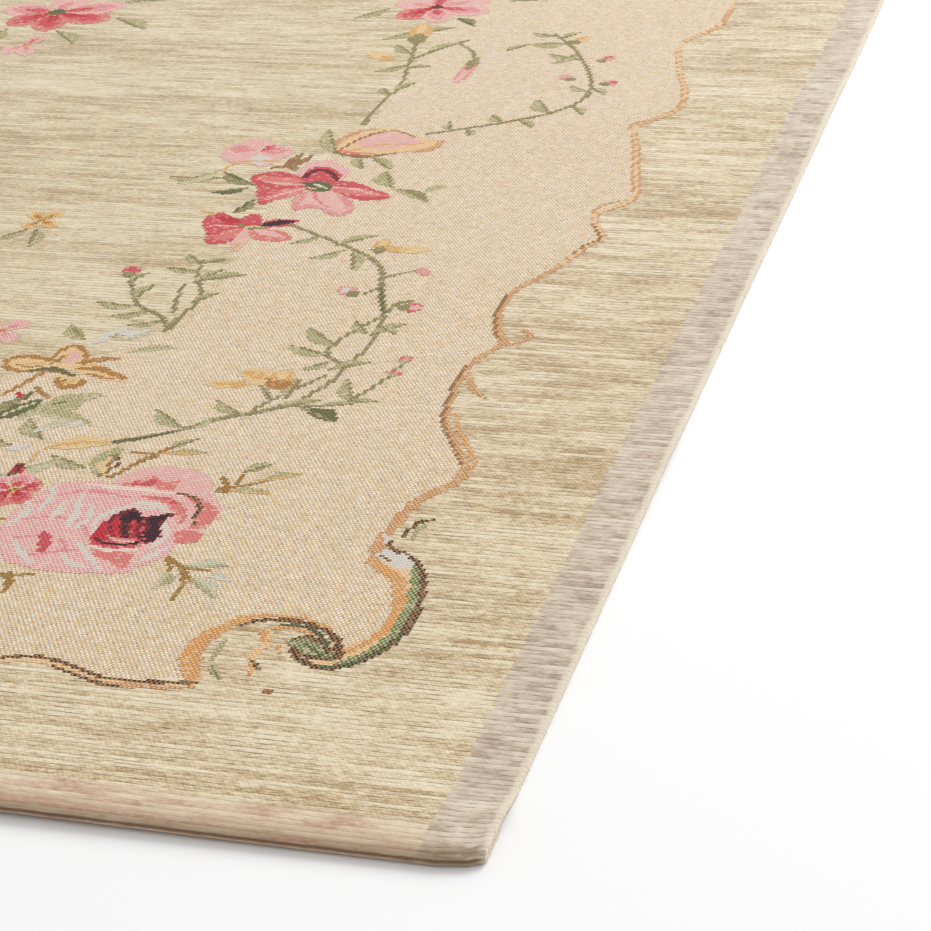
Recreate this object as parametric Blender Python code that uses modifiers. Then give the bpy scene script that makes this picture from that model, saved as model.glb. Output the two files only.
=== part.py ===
"""A flat-woven chenille rug, 1.2 by 1.8 m, lying on the floor with both short ends hemmed.

It is one cloth. Its middle surface is a grid that is laid along the rug's lengthwise
section, folded under at each short end, and then given the cloth's thickness.
X runs across the rug, Y along it, and the rug rests on Z = 0.
"""

import math

import bmesh
import bpy

# Driving dimensions, in metres
WIDTH = 1.200
LENGTH = 1.800
CLOTH_THICKNESS = 0.0024
HEM_DEPTH = 0.022
LAYER_GAP = 0.0003
STEP_DOWN = 0.016  # length over which the cloth comes down from the hem to the floor
END_BOW = 0.0016  # how far an end edge wanders from a straight line
SIDE_BOW = 0.0012  # the same for a side edge
CORNER_CUT = 0.0030  # how far the soft corner draws back from the end edge
CORNER_REACH = 0.0080  # how far along the end that soft corner runs
END_LIFT = 0.0012  # how far the hem stands off the floor between its resting places

# Low ripples left across the rug by its folding: place along Y, half breadth, height
RIPPLES = (
    (-0.640, 0.075, 0.0016),
    (-0.455, 0.060, 0.0011),
    (-0.235, 0.085, 0.0019),
    (0.200, 0.080, 0.0014),
    (0.430, 0.070, 0.0017),
    (0.660, 0.075, 0.0012),
)
RIPPLE_SWAY = 0.022  # how far a ripple's line wanders along Y
RIPPLE_SWAY_LENGTH = 0.90  # the length of that wandering

# Lengths over which the edges' wandering repeats
END_BOW_LENGTH = 0.70
END_BOW_CREST = 0.47  # where an end edge stands furthest out, from the rug's middle
SIDE_BOW_LENGTH = 1.10
END_LIFT_LENGTH = 0.40
EDGE_BLEND = 0.12  # breadth of the band in which an edge's wandering fades out

# Grid density
FIELD_ROWS = 56
STEP_ROWS = 5
FOLD_ROWS = 6
INNER_COLUMNS = 31
CORNER_COLUMNS = (0.0, 0.25, 0.6)  # extra columns at each side, in parts of CORNER_REACH

# Finish
CLOTH_COLOR = (0.62, 0.53, 0.38, 1.0)
CLOTH_ROUGHNESS = 0.92

HALF_WIDTH = WIDTH / 2
HALF_LENGTH = LENGTH / 2
LAYER_PITCH = CLOTH_THICKNESS + LAYER_GAP


def smooth_step(value):
    """0 below 0, 1 above 1 and an even rise between them."""
    value = min(max(value, 0.0), 1.0)
    return value * value * (3 - 2 * value)


def raised_cosine(offset, half_breadth):
    """A hump of height 1 at no offset, and 0 at half_breadth and beyond."""
    if abs(offset) >= half_breadth:
        return 0.0
    return 0.5 * (1 + math.cos(math.pi * offset / half_breadth))


def half_section():
    """The middle surface from the rug's centre out to its hem's raw edge, as (distance, height)."""
    rest = CLOTH_THICKNESS / 2
    raised = rest + LAYER_PITCH
    fold_radius = LAYER_PITCH / 2
    fold_center = HALF_LENGTH - rest - fold_radius
    raw_edge = HALF_LENGTH - HEM_DEPTH
    step_top = raw_edge - LAYER_PITCH
    step_foot = step_top - STEP_DOWN
    half_rows = FIELD_ROWS // 2
    points = [(step_foot * row / half_rows, rest) for row in range(half_rows + 1)]
    for row in range(1, STEP_ROWS + 1):
        part = row / STEP_ROWS
        points.append((step_foot + STEP_DOWN * part, rest + LAYER_PITCH * smooth_step(part)))
    points.append(((step_top + fold_center) / 2, raised))
    for row in range(FOLD_ROWS + 1):
        angle = math.pi / 2 - math.pi * row / FOLD_ROWS
        along = fold_center + fold_radius * math.cos(angle)
        points.append((along, rest + fold_radius + fold_radius * math.sin(angle)))
    points.append(((raw_edge + fold_center) / 2, rest))
    points.append((raw_edge, rest))
    return points


def full_section():
    """Both halves of the lengthwise section, from one raw edge to the other."""
    outward = half_section()
    near_half = [(-along, height) for along, height in reversed(outward[1:])]
    return near_half + outward


def columns_across():
    """Places across the rug: evenly spaced, with closer ones where the corners are soft."""
    inner_half = HALF_WIDTH - CORNER_REACH
    even = [inner_half * (2 * i / INNER_COLUMNS - 1) for i in range(INNER_COLUMNS + 1)]
    soft = [HALF_WIDTH - CORNER_REACH * part for part in CORNER_COLUMNS]
    return [-x for x in soft] + even + list(reversed(soft))


def floor_lift(x, y):
    """How far the cloth stands off the floor at a place."""
    sway = RIPPLE_SWAY * math.sin(2 * math.pi * x / RIPPLE_SWAY_LENGTH)
    lift = sum(high * raised_cosine(y + sway - place, half) for place, half, high in RIPPLES)
    near_end = smooth_step((abs(y) - HALF_LENGTH + EDGE_BLEND) / EDGE_BLEND)
    hem_wave = 0.5 * (1 - math.cos(2 * math.pi * (HALF_WIDTH - abs(x)) / END_LIFT_LENGTH))
    return lift + END_LIFT * near_end * hem_wave


def plan_place(x, y):
    """Where a point of the straight-edged sheet lies in plan, with its slightly uneven edges."""
    near_end = smooth_step((abs(y) - HALF_LENGTH + EDGE_BLEND) / EDGE_BLEND)
    near_side = smooth_step((abs(x) - HALF_WIDTH + EDGE_BLEND) / EDGE_BLEND)
    end_wave = 0.5 * (1 + math.cos(2 * math.pi * (abs(x) - END_BOW_CREST) / END_BOW_LENGTH))
    side_wave = 0.5 * (1 + math.cos(2 * math.pi * y / SIDE_BOW_LENGTH))
    corner = smooth_step((abs(x) - HALF_WIDTH + CORNER_REACH) / CORNER_REACH)
    drawn_in = END_BOW * (1 - end_wave) * near_end + CORNER_CUT * corner * near_end
    pulled_in = SIDE_BOW * (1 - side_wave) * near_side
    return x - math.copysign(pulled_in, x), y - math.copysign(drawn_in, y)


def cloth_material():
    material = bpy.data.materials.new("woven_chenille")
    material.use_nodes = True
    shader = material.node_tree.nodes["Principled BSDF"]
    shader.inputs["Base Color"].default_value = CLOTH_COLOR
    shader.inputs["Roughness"].default_value = CLOTH_ROUGHNESS
    shader.inputs["Metallic"].default_value = 0.0
    return material


def rug_cloth(collection):
    """The whole woven cloth with its turned-under ends, as one closed body."""
    rows = full_section()
    columns = columns_across()
    last_row = len(rows) - 1
    last_column = len(columns) - 1
    sheet = bmesh.new()
    bmesh.ops.create_grid(sheet, x_segments=last_column, y_segments=last_row, size=0.5)
    for vert in sheet.verts:
        across = columns[round((vert.co.x + 0.5) * last_column)]
        along, height = rows[round((vert.co.y + 0.5) * last_row)]
        x, y = plan_place(across, along)
        vert.co = (x, y, height + floor_lift(across, along))
    mesh = bpy.data.meshes.new("rug_cloth")
    sheet.to_mesh(mesh)
    sheet.free()
    mesh.shade_smooth()
    mesh.materials.append(cloth_material())
    cloth = bpy.data.objects.new("rug_cloth", mesh)
    collection.objects.link(cloth)
    thickness = cloth.modifiers.new("cloth_thickness", "SOLIDIFY")
    thickness.thickness = CLOTH_THICKNESS
    thickness.offset = 0.0
    thickness.use_even_offset = True
    return cloth


def main():
    for old in list(bpy.data.objects):
        bpy.data.objects.remove(old)
    collection = bpy.data.collections.new("rug")
    bpy.context.scene.collection.children.link(collection)
    rug_cloth(collection)


main()
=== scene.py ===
"""The looks of a woven chenille rug: its ribbed ground, woven figure, hems and selvedges.

The figure is charted in millimetres from the rug's middle, on one quarter of the rug.
It is drawn with smooth outlines and strokes, turned into the crossings of the weave, and mirrored.
"""
import math

import bpy
import numpy as np
from mathutils import Matrix, Vector
from mathutils.bvhtree import BVHTree


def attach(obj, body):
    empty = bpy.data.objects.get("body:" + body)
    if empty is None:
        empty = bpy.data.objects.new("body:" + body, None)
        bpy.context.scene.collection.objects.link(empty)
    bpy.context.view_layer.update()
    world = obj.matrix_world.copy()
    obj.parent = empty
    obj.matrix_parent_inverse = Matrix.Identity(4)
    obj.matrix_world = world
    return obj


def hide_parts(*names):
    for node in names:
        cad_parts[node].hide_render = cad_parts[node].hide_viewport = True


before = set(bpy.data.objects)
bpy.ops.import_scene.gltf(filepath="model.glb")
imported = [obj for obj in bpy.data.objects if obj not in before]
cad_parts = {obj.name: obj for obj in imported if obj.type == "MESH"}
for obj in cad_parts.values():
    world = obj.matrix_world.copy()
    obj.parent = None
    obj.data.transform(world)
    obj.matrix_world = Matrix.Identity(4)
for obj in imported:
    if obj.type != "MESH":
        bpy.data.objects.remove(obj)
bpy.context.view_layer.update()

NODE = "rug_cloth"
MM = 0.001

# The cloth, in metres, as the solid has it
HALF_WIDTH = 0.600
HALF_LENGTH = 0.900
THICKNESS = 0.0024
LAYER_GAP = 0.0003
HEM_DEPTH = 0.022
FOLD_CENTER = HALF_LENGTH - THICKNESS - LAYER_GAP / 2
FOLD_REACH = THICKNESS + LAYER_GAP / 2
MID_FOLD = FOLD_CENTER + FOLD_REACH * math.pi / 2

# The weave: a rib gap falls on the middle of each folded end
RIBS_TO_FOLD = 309
RIB = MID_FOLD / RIBS_TO_FOLD
PICK = RIB / 2
WARPS = 319
WARP = HALF_WIDTH / WARPS
PATTERN_END = 0.86  # how far from the middle the figure may reach
PICKS = 2 * int(PATTERN_END / RIB)

# Bands of plain colour along the edges
SIDE_BAND = 0.0212
END_BAND = 0.0175

# Where the drawing's own origin lies on the rug, in millimetres
DRAWN_SHIFT = (1.5, 2.0)
SELVEDGE = 0.0014


def tone(red, green, blue):
    """An 8-bit display colour as linear RGBA."""
    parts = []
    for value in (red, green, blue):
        share = value / 255
        parts.append(share / 12.92 if share <= 0.04045 else ((share + 0.055) / 1.055) ** 2.4)
    return (*parts, 1.0)


# Each yarn pair of the figure: the two colours that alternate across the cloth
YARNS = {
    "orange": (tone(206, 136, 76), tone(228, 184, 122)),
    "amber": (tone(190, 130, 78), tone(222, 182, 138)),
    "peach": (tone(226, 180, 130), tone(236, 206, 164)),
    "green": (tone(96, 112, 72), tone(184, 178, 134)),
    "dark_green": (tone(54, 64, 42), tone(120, 120, 80)),
    "dark": (tone(42, 34, 26), tone(164, 118, 74)),
    "line_brown": (tone(132, 92, 56), tone(178, 132, 84)),
    "frost": (tone(200, 208, 198), tone(230, 208, 196)),
    "mint": (tone(172, 186, 160), tone(222, 208, 180)),
    "sage": (tone(150, 146, 102), tone(200, 188, 144)),
    "sage_pale": (tone(182, 178, 138), tone(212, 202, 166)),
    "olive": (tone(120, 114, 68), tone(164, 150, 104)),
    "olive_dark": (tone(88, 92, 54), tone(118, 114, 74)),
    "vine": (tone(122, 114, 72), tone(166, 152, 108)),
    "stem_brown": (tone(146, 106, 52), tone(178, 136, 74)),
    "ochre": (tone(206, 154, 86), tone(226, 186, 122)),
    "ochre_pale": (tone(224, 184, 124), tone(232, 204, 156)),
    "ochre_dark": (tone(164, 110, 48), tone(190, 138, 74)),
    "rose_pale": (tone(224, 152, 154), tone(236, 202, 190)),
    "rose_light": (tone(226, 166, 162), tone(232, 190, 178)),
    "rose_mid": (tone(214, 122, 128), tone(230, 168, 160)),
    "rose_salmon": (tone(214, 108, 106), tone(224, 140, 130)),
    "rose_deep": (tone(196, 60, 76), tone(214, 100, 102)),
    "rose_cream": (tone(232, 208, 188), tone(238, 216, 204)),
    "crimson": (tone(178, 26, 44), tone(204, 62, 70)),
    "plum": (tone(34, 18, 28), tone(70, 26, 36)),
    "maroon": (tone(92, 26, 38), tone(136, 44, 52)),
    "berry": (tone(200, 82, 92), tone(214, 110, 112)),
    "berry_pale": (tone(214, 140, 140), tone(226, 168, 162)),
}
YARN_NAMES = ["bare"] + list(YARNS)


def smooth(points, closed=False, steps=7):
    """A smooth line through the points, as an array."""
    given = np.array(points, float)
    if closed:
        ends = np.vstack([given[-1:], given, given[:2]])
    else:
        ends = np.vstack([2 * given[:1] - given[1:2], given, 2 * given[-1:] - given[-2:-1]])
    parts = []
    for a, b, c, d in zip(ends, ends[1:], ends[2:], ends[3:]):
        for t in np.arange(steps) / steps:
            cubic = 2 * b + (c - a) * t + (2 * a - 5 * b + 4 * c - d) * t**2
            parts.append(0.5 * (cubic + (3 * b - a - 3 * c + d) * t**3))
    if not closed:
        parts.append(given[-1])
    return np.array(parts)


THINNEST_STEM = 1.95  # millimetres, a little over one warp, so that no stem breaks up


class Chart:
    """The quarter of the figure at +X and -Y: which yarn pair shows at each crossing."""

    def __init__(self):
        self.yarn = np.zeros((PICKS, WARPS), np.int16)
        self.x = (np.arange(WARPS) + 0.5) * WARP / MM - DRAWN_SHIFT[0]
        self.y = -(np.arange(PICKS) + 0.5) * PICK / MM - DRAWN_SHIFT[1]

    def window(self, low, high):
        columns = slice(*np.searchsorted(self.x, (low[0], high[0])))
        rows = slice(*np.searchsorted(-self.y, (-high[1], -low[1])))
        return rows, columns, *np.meshgrid(self.x[columns], self.y[rows])

    def paint(self, rows, columns, inside, yarn):
        self.yarn[rows, columns][inside] = YARN_NAMES.index(yarn)

    def fill(self, outline, yarn, curved=True):
        line = smooth(outline, closed=True) if curved else np.array(outline, float)
        rows, columns, x, y = self.window(line.min(0), line.max(0))
        inside = np.zeros(x.shape, bool)
        for (ax, ay), (bx, by) in zip(line, np.roll(line, -1, 0)):
            if ay != by:
                crosses = (ay > y) != (by > y)
                inside ^= crosses & (x < (bx - ax) * (y - ay) / (by - ay) + ax)
        self.paint(rows, columns, inside, yarn)

    def stroke(self, path, breadths, yarn, curved=True):
        """A line whose breadth runs evenly through the given breadths."""
        line = smooth(path) if curved and len(path) > 2 else np.array(path, float)
        breadths = np.atleast_1d(breadths).astype(float)
        along = np.linspace(0, 1, len(line))
        half = np.interp(along, np.linspace(0, 1, len(breadths)), breadths) / 2
        if yarn == "vine":
            half = np.maximum(half, THINNEST_STEM / 2)
        for a, b, ra, rb in zip(line, line[1:], half, half[1:]):
            reach = max(ra, rb)
            rows, columns, x, y = self.window(np.minimum(a, b) - reach, np.maximum(a, b) + reach)
            step = b - a
            length = max(float(step @ step), 1e-9)
            t = np.clip(((x - a[0]) * step[0] + (y - a[1]) * step[1]) / length, 0, 1)
            away = np.hypot(x - a[0] - t * step[0], y - a[1] - t * step[1])
            self.paint(rows, columns, away < ra + (rb - ra) * t, yarn)

    def draw(self, rows, center=(0, 0), size=1.0, flip=1):
        """Patches and lines in turn: a yarn and its points, and the breadths too for a line."""
        for yarn, points, *breadths in rows:
            placed = [(center[0] + flip * size * x, center[1] + size * y) for x, y in points]
            if breadths:
                self.stroke(placed, np.array(breadths[0], float) * size, yarn)
            else:
                self.fill(placed, yarn)

    def blade(self, base, tip, breadth, yarn, bend=0.0, fullest=1.0, bluntness=1.0):
        """A leaf or petal from base to tip. fullest over 1 is widest near the tip."""
        base = np.array(base, float)
        axis = np.array(tip, float) - base
        side = np.array((-axis[1], axis[0]))
        t = np.linspace(0, 1, 11)
        half = breadth / 2 / max(np.hypot(*axis), 1e-6) * np.sin(np.pi * t**fullest) ** bluntness
        middle = base + t[:, None] * axis + (bend * np.sin(np.pi * t))[:, None] * side
        outline = np.vstack([middle + half[:, None] * side, (middle - half[:, None] * side)[::-1]])
        self.fill(outline, yarn, curved=False)


# The scroll line, from the rug's side middle down to the corner's volute

SCROLL_SIDE = [
    (510, 0), (511, -30), (512, -50), (511, -70), (505, -86), (497, -102), (496, -114),
    (499, -130), (503, -148), (509, -170), (515, -190), (518, -212), (515, -226), (507, -238),
    (502, -247), (502, -258), (506, -272), (510, -288), (513, -303), (517, -320), (521, -338),
    (519, -352), (511, -362), (508, -368), (510, -380), (516, -392), (518, -400), (513, -408),
    (510, -420), (506, -436), (499, -452), (493, -466), (491, -482), (493, -497), (497, -511),
    (502, -521), (500, -528), (495, -540), (493, -556), (495, -578), (498, -598), (504, -613),
    (512, -628), (519, -642), (520, -654), (513, -664), (508, -673), (505, -690), (504, -706),
    (505, -720),
]
SCROLL_INNER = [
    (505, -720), (511, -726), (518, -731), (522, -740), (525, -752), (526, -762), (524, -772),
    (520, -780), (514, -788),
]
SCROLL_OUTER = [
    (508, -709), (516, -713), (524, -721), (529, -733), (532, -748), (533, -762), (531, -775),
    (526, -786), (519, -794), (511, -797), (502, -794), (496, -788),
]
VOLUTE = [
    (514, -789), (511, -780), (505, -773), (497, -769), (488, -768), (479, -769), (471, -774),
]
SCROLL_RISE = [
    (473, -770), (467, -775), (463, -783), (461, -793), (463, -803), (468, -813),
]
SCROLL_FRONT = [
    (470, -815), (460, -817), (448, -818), (436, -818), (425, -814), (414, -810), (404, -809),
    (394, -812), (384, -817), (370, -821), (352, -822), (334, -819), (320, -812), (312, -806),
    (304, -806), (296, -813), (282, -820), (262, -823), (240, -821), (222, -815), (207, -806),
    (196, -800), (186, -802), (176, -811), (160, -818), (140, -820), (120, -815), (104, -805),
    (90, -798), (74, -799), (56, -807), (38, -816), (20, -822), (0, -824),
]
GROUND_EDGE = SCROLL_SIDE + SCROLL_INNER[1:] + [(512, -792)] + VOLUTE[1:] + SCROLL_RISE[1:]
GROUND_EDGE = GROUND_EDGE + SCROLL_FRONT

# The edge of the plain chenille middle, from the side's middle round to the end's middle
FIELD_EDGE = [
    (318, 0), (326, -28), (345, -60), (352, -110), (354, -190), (356, -250), (352, -300),
    (344, -350), (340, -400), (348, -450), (352, -500), (344, -540), (318, -572), (280, -596),
    (236, -612), (190, -612), (150, -626), (112, -650), (70, -660), (30, -654), (0, -650),
]


def scroll(chart):
    """The scroll line with its corner volute."""
    side = SCROLL_SIDE
    chart.draw([
        ("amber", side, [3.0, 3.4, 2.6, 4.2, 3.2, 4.8, 2.8, 4.4, 3.0, 4.6, 2.8, 3.4, 4.6, 5.8]),
        ("peach", side[:30], [1.2, 1.6, 1.0, 2.0, 1.4]),
    ])
    for first, last in ((24, 29), (31, 36), (37, 44)):
        shifted = [(x - 1.2, y) for x, y in side[first:last]]
        chart.stroke(shifted, [0.8, 1.9, 1.7, 0.9], "line_brown")
    chart.draw([
        ("orange", [(x + 3.4, y + 3) for x, y in side[40:45]], [1.2, 2.6, 1.4]),
        ("amber", [(494, -550), (498, -562), (503, -571), (509, -577)], [1.6, 3.6, 1.0]),
        ("amber", [(500, -524), (507, -522), (512, -516), (511, -509), (506, -508)], [3, 2.4, 1.4]),
        ("amber", [(505, -366), (508, -356), (515, -350)], [1.0, 2.6, 1.0]),
        ("amber", [(499, -256), (498, -246), (504, -238)], [1.0, 2.2, 1.0]),
        ("amber", [(506, -88), (509, -80), (514, -74)], [1.0, 2.2, 1.0]),
    ])
    band = smooth(SCROLL_OUTER)
    chart.draw([
        ("peach", [(507, -722), (515, -729), (521, -741), (524, -755), (523, -768), (517, -781),
          (511, -789), (502, -792), (512, -797), (521, -792), (529, -781), (532, -766), (531, -746),
          (526, -726), (516, -714)]),
        ("orange", SCROLL_INNER, [4.6, 5.4, 5.0, 3.6, 3.0]),
        ("green", [(x - 3.2, y) for x, y in SCROLL_OUTER[1:9]], [1.0, 3.6, 4.6, 4.0, 2.6]),
    ])
    chart.stroke(band, [0.9, 2.6, 2.8, 3.0, 3.2, 2.2], "dark", curved=False)
    chart.draw([
        ("dark_green", SCROLL_OUTER[5:10], [0.9, 1.7, 1.5]),
        ("green", [(492, -782), (497, -778), (504, -780), (510, -786), (513, -792), (506, -793),
          (498, -789)]),
        ("dark", [(493, -781), (498, -778), (505, -781), (510, -787)], [1.6, 2.6, 2.0]),
        ("dark", [(495, -786), (501, -790), (508, -792), (514, -790)], [1.4, 2.4, 1.8]),
        ("dark_green", [(499, -783), (504, -786), (508, -790)], [1.2, 1.8]),
        ("dark", VOLUTE, [3.4, 3.0, 2.4, 1.5]),
        ("dark_green", [(508, -783), (502, -775), (494, -771), (486, -771)], [2.2, 2.0, 1.4]),
        ("orange", [(500, -776), (492, -773), (484, -774)], [1.6, 1.8]),
        ("orange", [(505, -771), (494, -766), (480, -766), (470, -770)], [1.2, 1.8, 3.2]),
        ("orange", SCROLL_RISE, [3.6, 5.4, 7.2, 7.6, 5.0]),
        ("amber", [(465, -781), (464, -792), (466, -804)], [1.4, 2.6, 1.4]),
        ("sage", [(469, -782), (470, -794), (471, -806)], [1.0, 2.0, 1.0]),
        ("green", [(471, -803), (475, -809), (479, -813)], [1.4, 2.2, 1.0]),
        ("peach", [(483, -776), (485, -785), (484, -795), (486, -806)], [3.0, 3.8, 1.6]),
        ("orange", [(482, -778), (484, -784)], [3.0, 2.2]),
        ("orange", [(482, -795), (486, -800), (487, -807)], [1.4, 3.0, 1.2]),
        ("dark", [(485, -797), (488, -802)], [1.2, 2.0]),
        ("orange", [(490, -786), (492, -790)], [1.8, 1.0]),
        ("line_brown", [(495, -816), (498, -816)], [1.6]),
    ])
    front = SCROLL_FRONT
    chart.draw([
        ("peach", [(x, y - 2.4) for x, y in front], [2.2, 3.4, 2.0, 4.0, 2.6, 4.4, 2.4, 4.0, 3.0]),
        ("amber", [(x, y - 3.0) for x, y in front[:5]], [1.0, 3.4, 1.4]),
        ("dark", [(x, y - 3.8) for x, y in front[2:6]], [0.9, 1.9, 0.9]),
        ("line_brown", front, [2.4, 1.8, 2.2, 1.4, 2.2, 1.6, 2.4, 1.6, 2.2, 1.6, 2.0]),
        ("dark", front[:8], [2.0, 2.2, 1.6, 2.4, 1.8]),
    ])
    for x in (304, 190, 82):
        chart.stroke([(x - 7, -798), (x - 1, -804), (x + 5, -801), (x + 4, -795)], [1.2, 3.0, 1.2], "amber")
        chart.stroke([(x + 12, -818), (x + 4, -812), (x - 2, -808)], [1.0, 2.6, 1.4], "orange")
    chart.draw([
        ("orange", [(0, -806), (12, -808), (22, -802), (20, -792), (10, -792)], [2.4, 4.2, 1.6]),
        ("dark", [(0, -810), (14, -812), (26, -804)], [1.6, 2.4, 1.0]),
    ])
    chart.blade((0, -806), (0, -782), 11, "green")
    chart.blade((0, -806), (0, -788), 5, "sage_pale")
    chart.draw([
        ("frost", [(505, -716), (509, -710), (515, -712), (522, -722), (515, -724)]),
        ("dark", [(506, -703), (509, -709), (514, -713)], [1.0, 2.2, 1.4]),
        ("frost", [(504, -700), (506, -706)], [1.8, 2.4]),
        ("dark", [(507, -716), (511, -719)], [1.0, 1.8]),
        ("dark", [(511, -700), (513, -690), (519, -685)], [1.0, 2.2, 1.2]),
        ("sage", [(514, -704), (515, -694), (518, -688)], [1.0, 1.8, 1.0]),
    ])


# A full rose, drawn in millimetres from its heart
CABBAGE_ROSE = [
    ("rose_pale", [(-52, 6), (-49, 20), (-41, 30), (-27, 33), (-17, 31), (-19, 39), (-12, 47), (0, 50),
      (11, 47), (19, 40), (21, 31), (28, 24), (31, 14), (29, 4), (29, -6), (22, -9), (22, -20), (15, -28),
      (10, -35), (-3, -37), (-15, -38), (-27, -37), (-39, -33), (-46, -24), (-52, -10)]),
    ("rose_light", [(-20, 32), (-18, 41), (-11, 48), (0, 50), (11, 47), (18, 40), (20, 32), (10, 30),
      (-4, 31)]),
    ("rose_salmon", [(-17, 31), (-11, 38), (-6, 41), (-1, 36), (5, 39), (5, 31), (-6, 32)]),
    ("rose_deep", [(-14, 33), (-9, 36), (-5, 38), (-4, 33)]),
    ("rose_cream", [(-32, 30), (-18, 29), (-4, 29), (10, 28)], [1.6, 2.4, 2.0]),
    ("rose_salmon", [(11, 28), (20, 26), (28, 19), (30, 11), (27, 3), (23, 4), (23, 14), (18, 21)]),
    ("rose_salmon", [(20, 1), (29, 0), (29, -8), (21, -8)]),
    ("dark", [(8, 29), (15, 27), (20, 21), (22, 13), (23, 6)], [1.0, 2.2, 1.4]),
    ("rose_salmon", [(-4, 24), (7, 22), (14, 16), (18, 8)], [2.0, 5.0, 3.0]),
    ("rose_deep", [(-1, 25), (6, 24), (10, 21)], [1.2, 2.0]),
    ("rose_mid", [(-46, 12), (-36, 22), (-24, 25), (-10, 22)], [1.2, 2.0, 1.2]),
    ("rose_mid", [(-48, -2), (-34, 3), (-22, 0), (-14, -10)], [1.4, 2.0, 1.2]),
    ("rose_mid", [(-44, -16), (-32, -12), (-22, -16), (-18, -26)], [1.2, 1.8, 1.2]),
    ("rose_mid", [(-36, -30), (-24, -24), (-10, -20), (4, -20)], [1.2, 1.8, 1.2]),
    ("rose_mid", [(6, -34), (12, -26), (18, -16)], [1.2, 2.2, 1.2]),
    ("rose_deep", [(-34, -9), (-29, -12), (-26, -22), (-29, -25), (-32, -17)]),
    ("rose_salmon", [(-8, -20), (3, -17), (9, -22), (8, -31), (2, -27), (-5, -25)]),
    ("frost", [(-44, 26), (-42, 16), (-43, 6)], [1.6, 3.4, 1.6]),
    ("frost", [(-30, 20), (-27, 8), (-26, -4)], [1.6, 3.4, 1.6]),
    ("frost", [(-42, -18), (-34, -28), (-28, -33)], [1.6, 3.4, 1.6]),
    ("frost", [(-20, -24), (-12, -31), (-4, -33)], [1.6, 3.4, 1.6]),
    ("frost", [(-14, -6), (-16, 6), (-8, 15), (3, 15)], [1.6, 3.4, 1.6]),
    ("frost", [(11, 6), (16, -3), (14, -13)], [1.6, 3.4, 1.6]),
    ("frost", [(12, -26), (16, -20), (20, -12)], [1.6, 3.4, 1.6]),
    ("frost", [(-50, 14), (-47, 4), (-50, -6)], [1.6, 3.4, 1.6]),
    ("frost", [(-36, 16), (-34, 8), (-36, 0)], [1.6, 3.4, 1.6]),
    ("frost", [(-23, 14), (-20, 4), (-22, -4)], [1.6, 3.4, 1.6]),
    ("frost", [(-6, 19), (4, 18), (11, 12)], [1.6, 3.4, 1.6]),
    ("frost", [(-18, -14), (-8, -24), (2, -35)], [1.6, 3.4, 1.6]),
    ("maroon", [(-10, 10), (-4, 14), (2, 9), (12, 13), (11, 4), (14, -5), (11, -11), (3, -8), (-6, -9),
      (-13, -6)]),
    ("rose_deep", [(-13, -6), (-4, -9), (6, -8), (9, -14), (0, -17), (-11, -15)]),
    ("crimson", [(-12, 3), (-9, -2), (-6, -8), (-7, -14), (-13, -11), (-14, -4)]),
    ("plum", [(-7, 9), (-3, 12), (2, 7), (-1, 3), (-7, 3)]),
    ("plum", [(4, 8), (11, 12), (10, 4), (13, -5), (10, -10), (6, -6), (7, 1)]),
    ("crimson", [(-8, 7), (-7, 0), (-3, -8)], [1.2, 3.0, 1.8]),
    ("crimson", [(-2, 7), (1, -1), (4, -9)], [1.2, 2.6, 1.6]),
    ("rose_deep", [(3, 5), (5, -2), (8, -8)], [0.8, 1.6, 1.0]),
    ("plum", [(-4, 3), (-2, -3), (1, -8)], [0.8, 1.6, 1.0]),
    ("plum", [(-12, -10), (-5, -14), (4, -13), (9, -9)], [1.0, 1.8, 1.0]),
    ("rose_salmon", [(-9, -7), (-2, -10), (6, -9)], [1.0, 1.6, 1.0]),
    ("rose_pale", [(-4, -11), (5, -11)], [1.4, 1.8]),
    ("rose_cream", [(-12, -16), (-2, -19), (9, -16)], [1.0, 2.0, 1.2]),
]


# The yarns of a petal, from its rim to its base
PINK = ("rose_pale", "rose_mid", "rose_deep")
RED = ("rose_salmon", "rose_deep", "crimson")
LIGHT = ("rose_light", "rose_pale", "rose_mid")
GOLD = ("ochre_pale", "ochre", "ochre_dark")


def blossom(chart, center, petals, heart="olive_dark", heart_size=7.0, stamens="ochre"):
    """A flower of separate petals, each given as its tip, breadth and yarns from rim to base."""
    center = np.array(center, float)
    for tip, breadth, rim, body, base in petals:
        reach = np.array(tip, float) - center
        chart.blade(center, tip, breadth, rim, fullest=1.35, bluntness=0.7)
        chart.blade(center, center + 0.86 * reach, breadth * 0.62, body, fullest=1.3, bluntness=0.8)
        chart.blade(center, center + 0.60 * reach, breadth * 0.30, base, fullest=1.1)
    turn = heart_size / 2
    chart.fill([center + (turn, 0), center + (0, turn), center - (turn, 0), center - (0, turn)], heart)
    for dx, dy in ((-0.45, 0.2), (0.35, 0.45), (0.1, -0.5)):
        spot = center + np.array((dx, dy)) * heart_size
        chart.stroke([spot, spot + (0.8, 0.4)], [1.9], stamens)


def bud(chart, base, tip, breadth, yarns=("berry", "rose_deep"), cup="olive"):
    base = np.array(base, float)
    tip = np.array(tip, float)
    chart.blade(base, tip, breadth, yarns[0], fullest=1.1, bluntness=0.7)
    chart.blade(base + 0.35 * (tip - base), tip, breadth * 0.45, yarns[1])
    chart.blade(base - 0.15 * (tip - base), base + 0.45 * (tip - base), breadth * 0.8, cup)


def leaf(chart, base, tip, breadth, yarns=("sage", "olive"), bend=0.12):
    """A leaf in two tones, with its darker half along the vein."""
    chart.blade(base, tip, 0.88 * breadth, yarns[0], bend)
    chart.stroke([base, 0.5 * (np.array(base) + tip), tip], [1.6, 1.9, 0.9], yarns[1])


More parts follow.
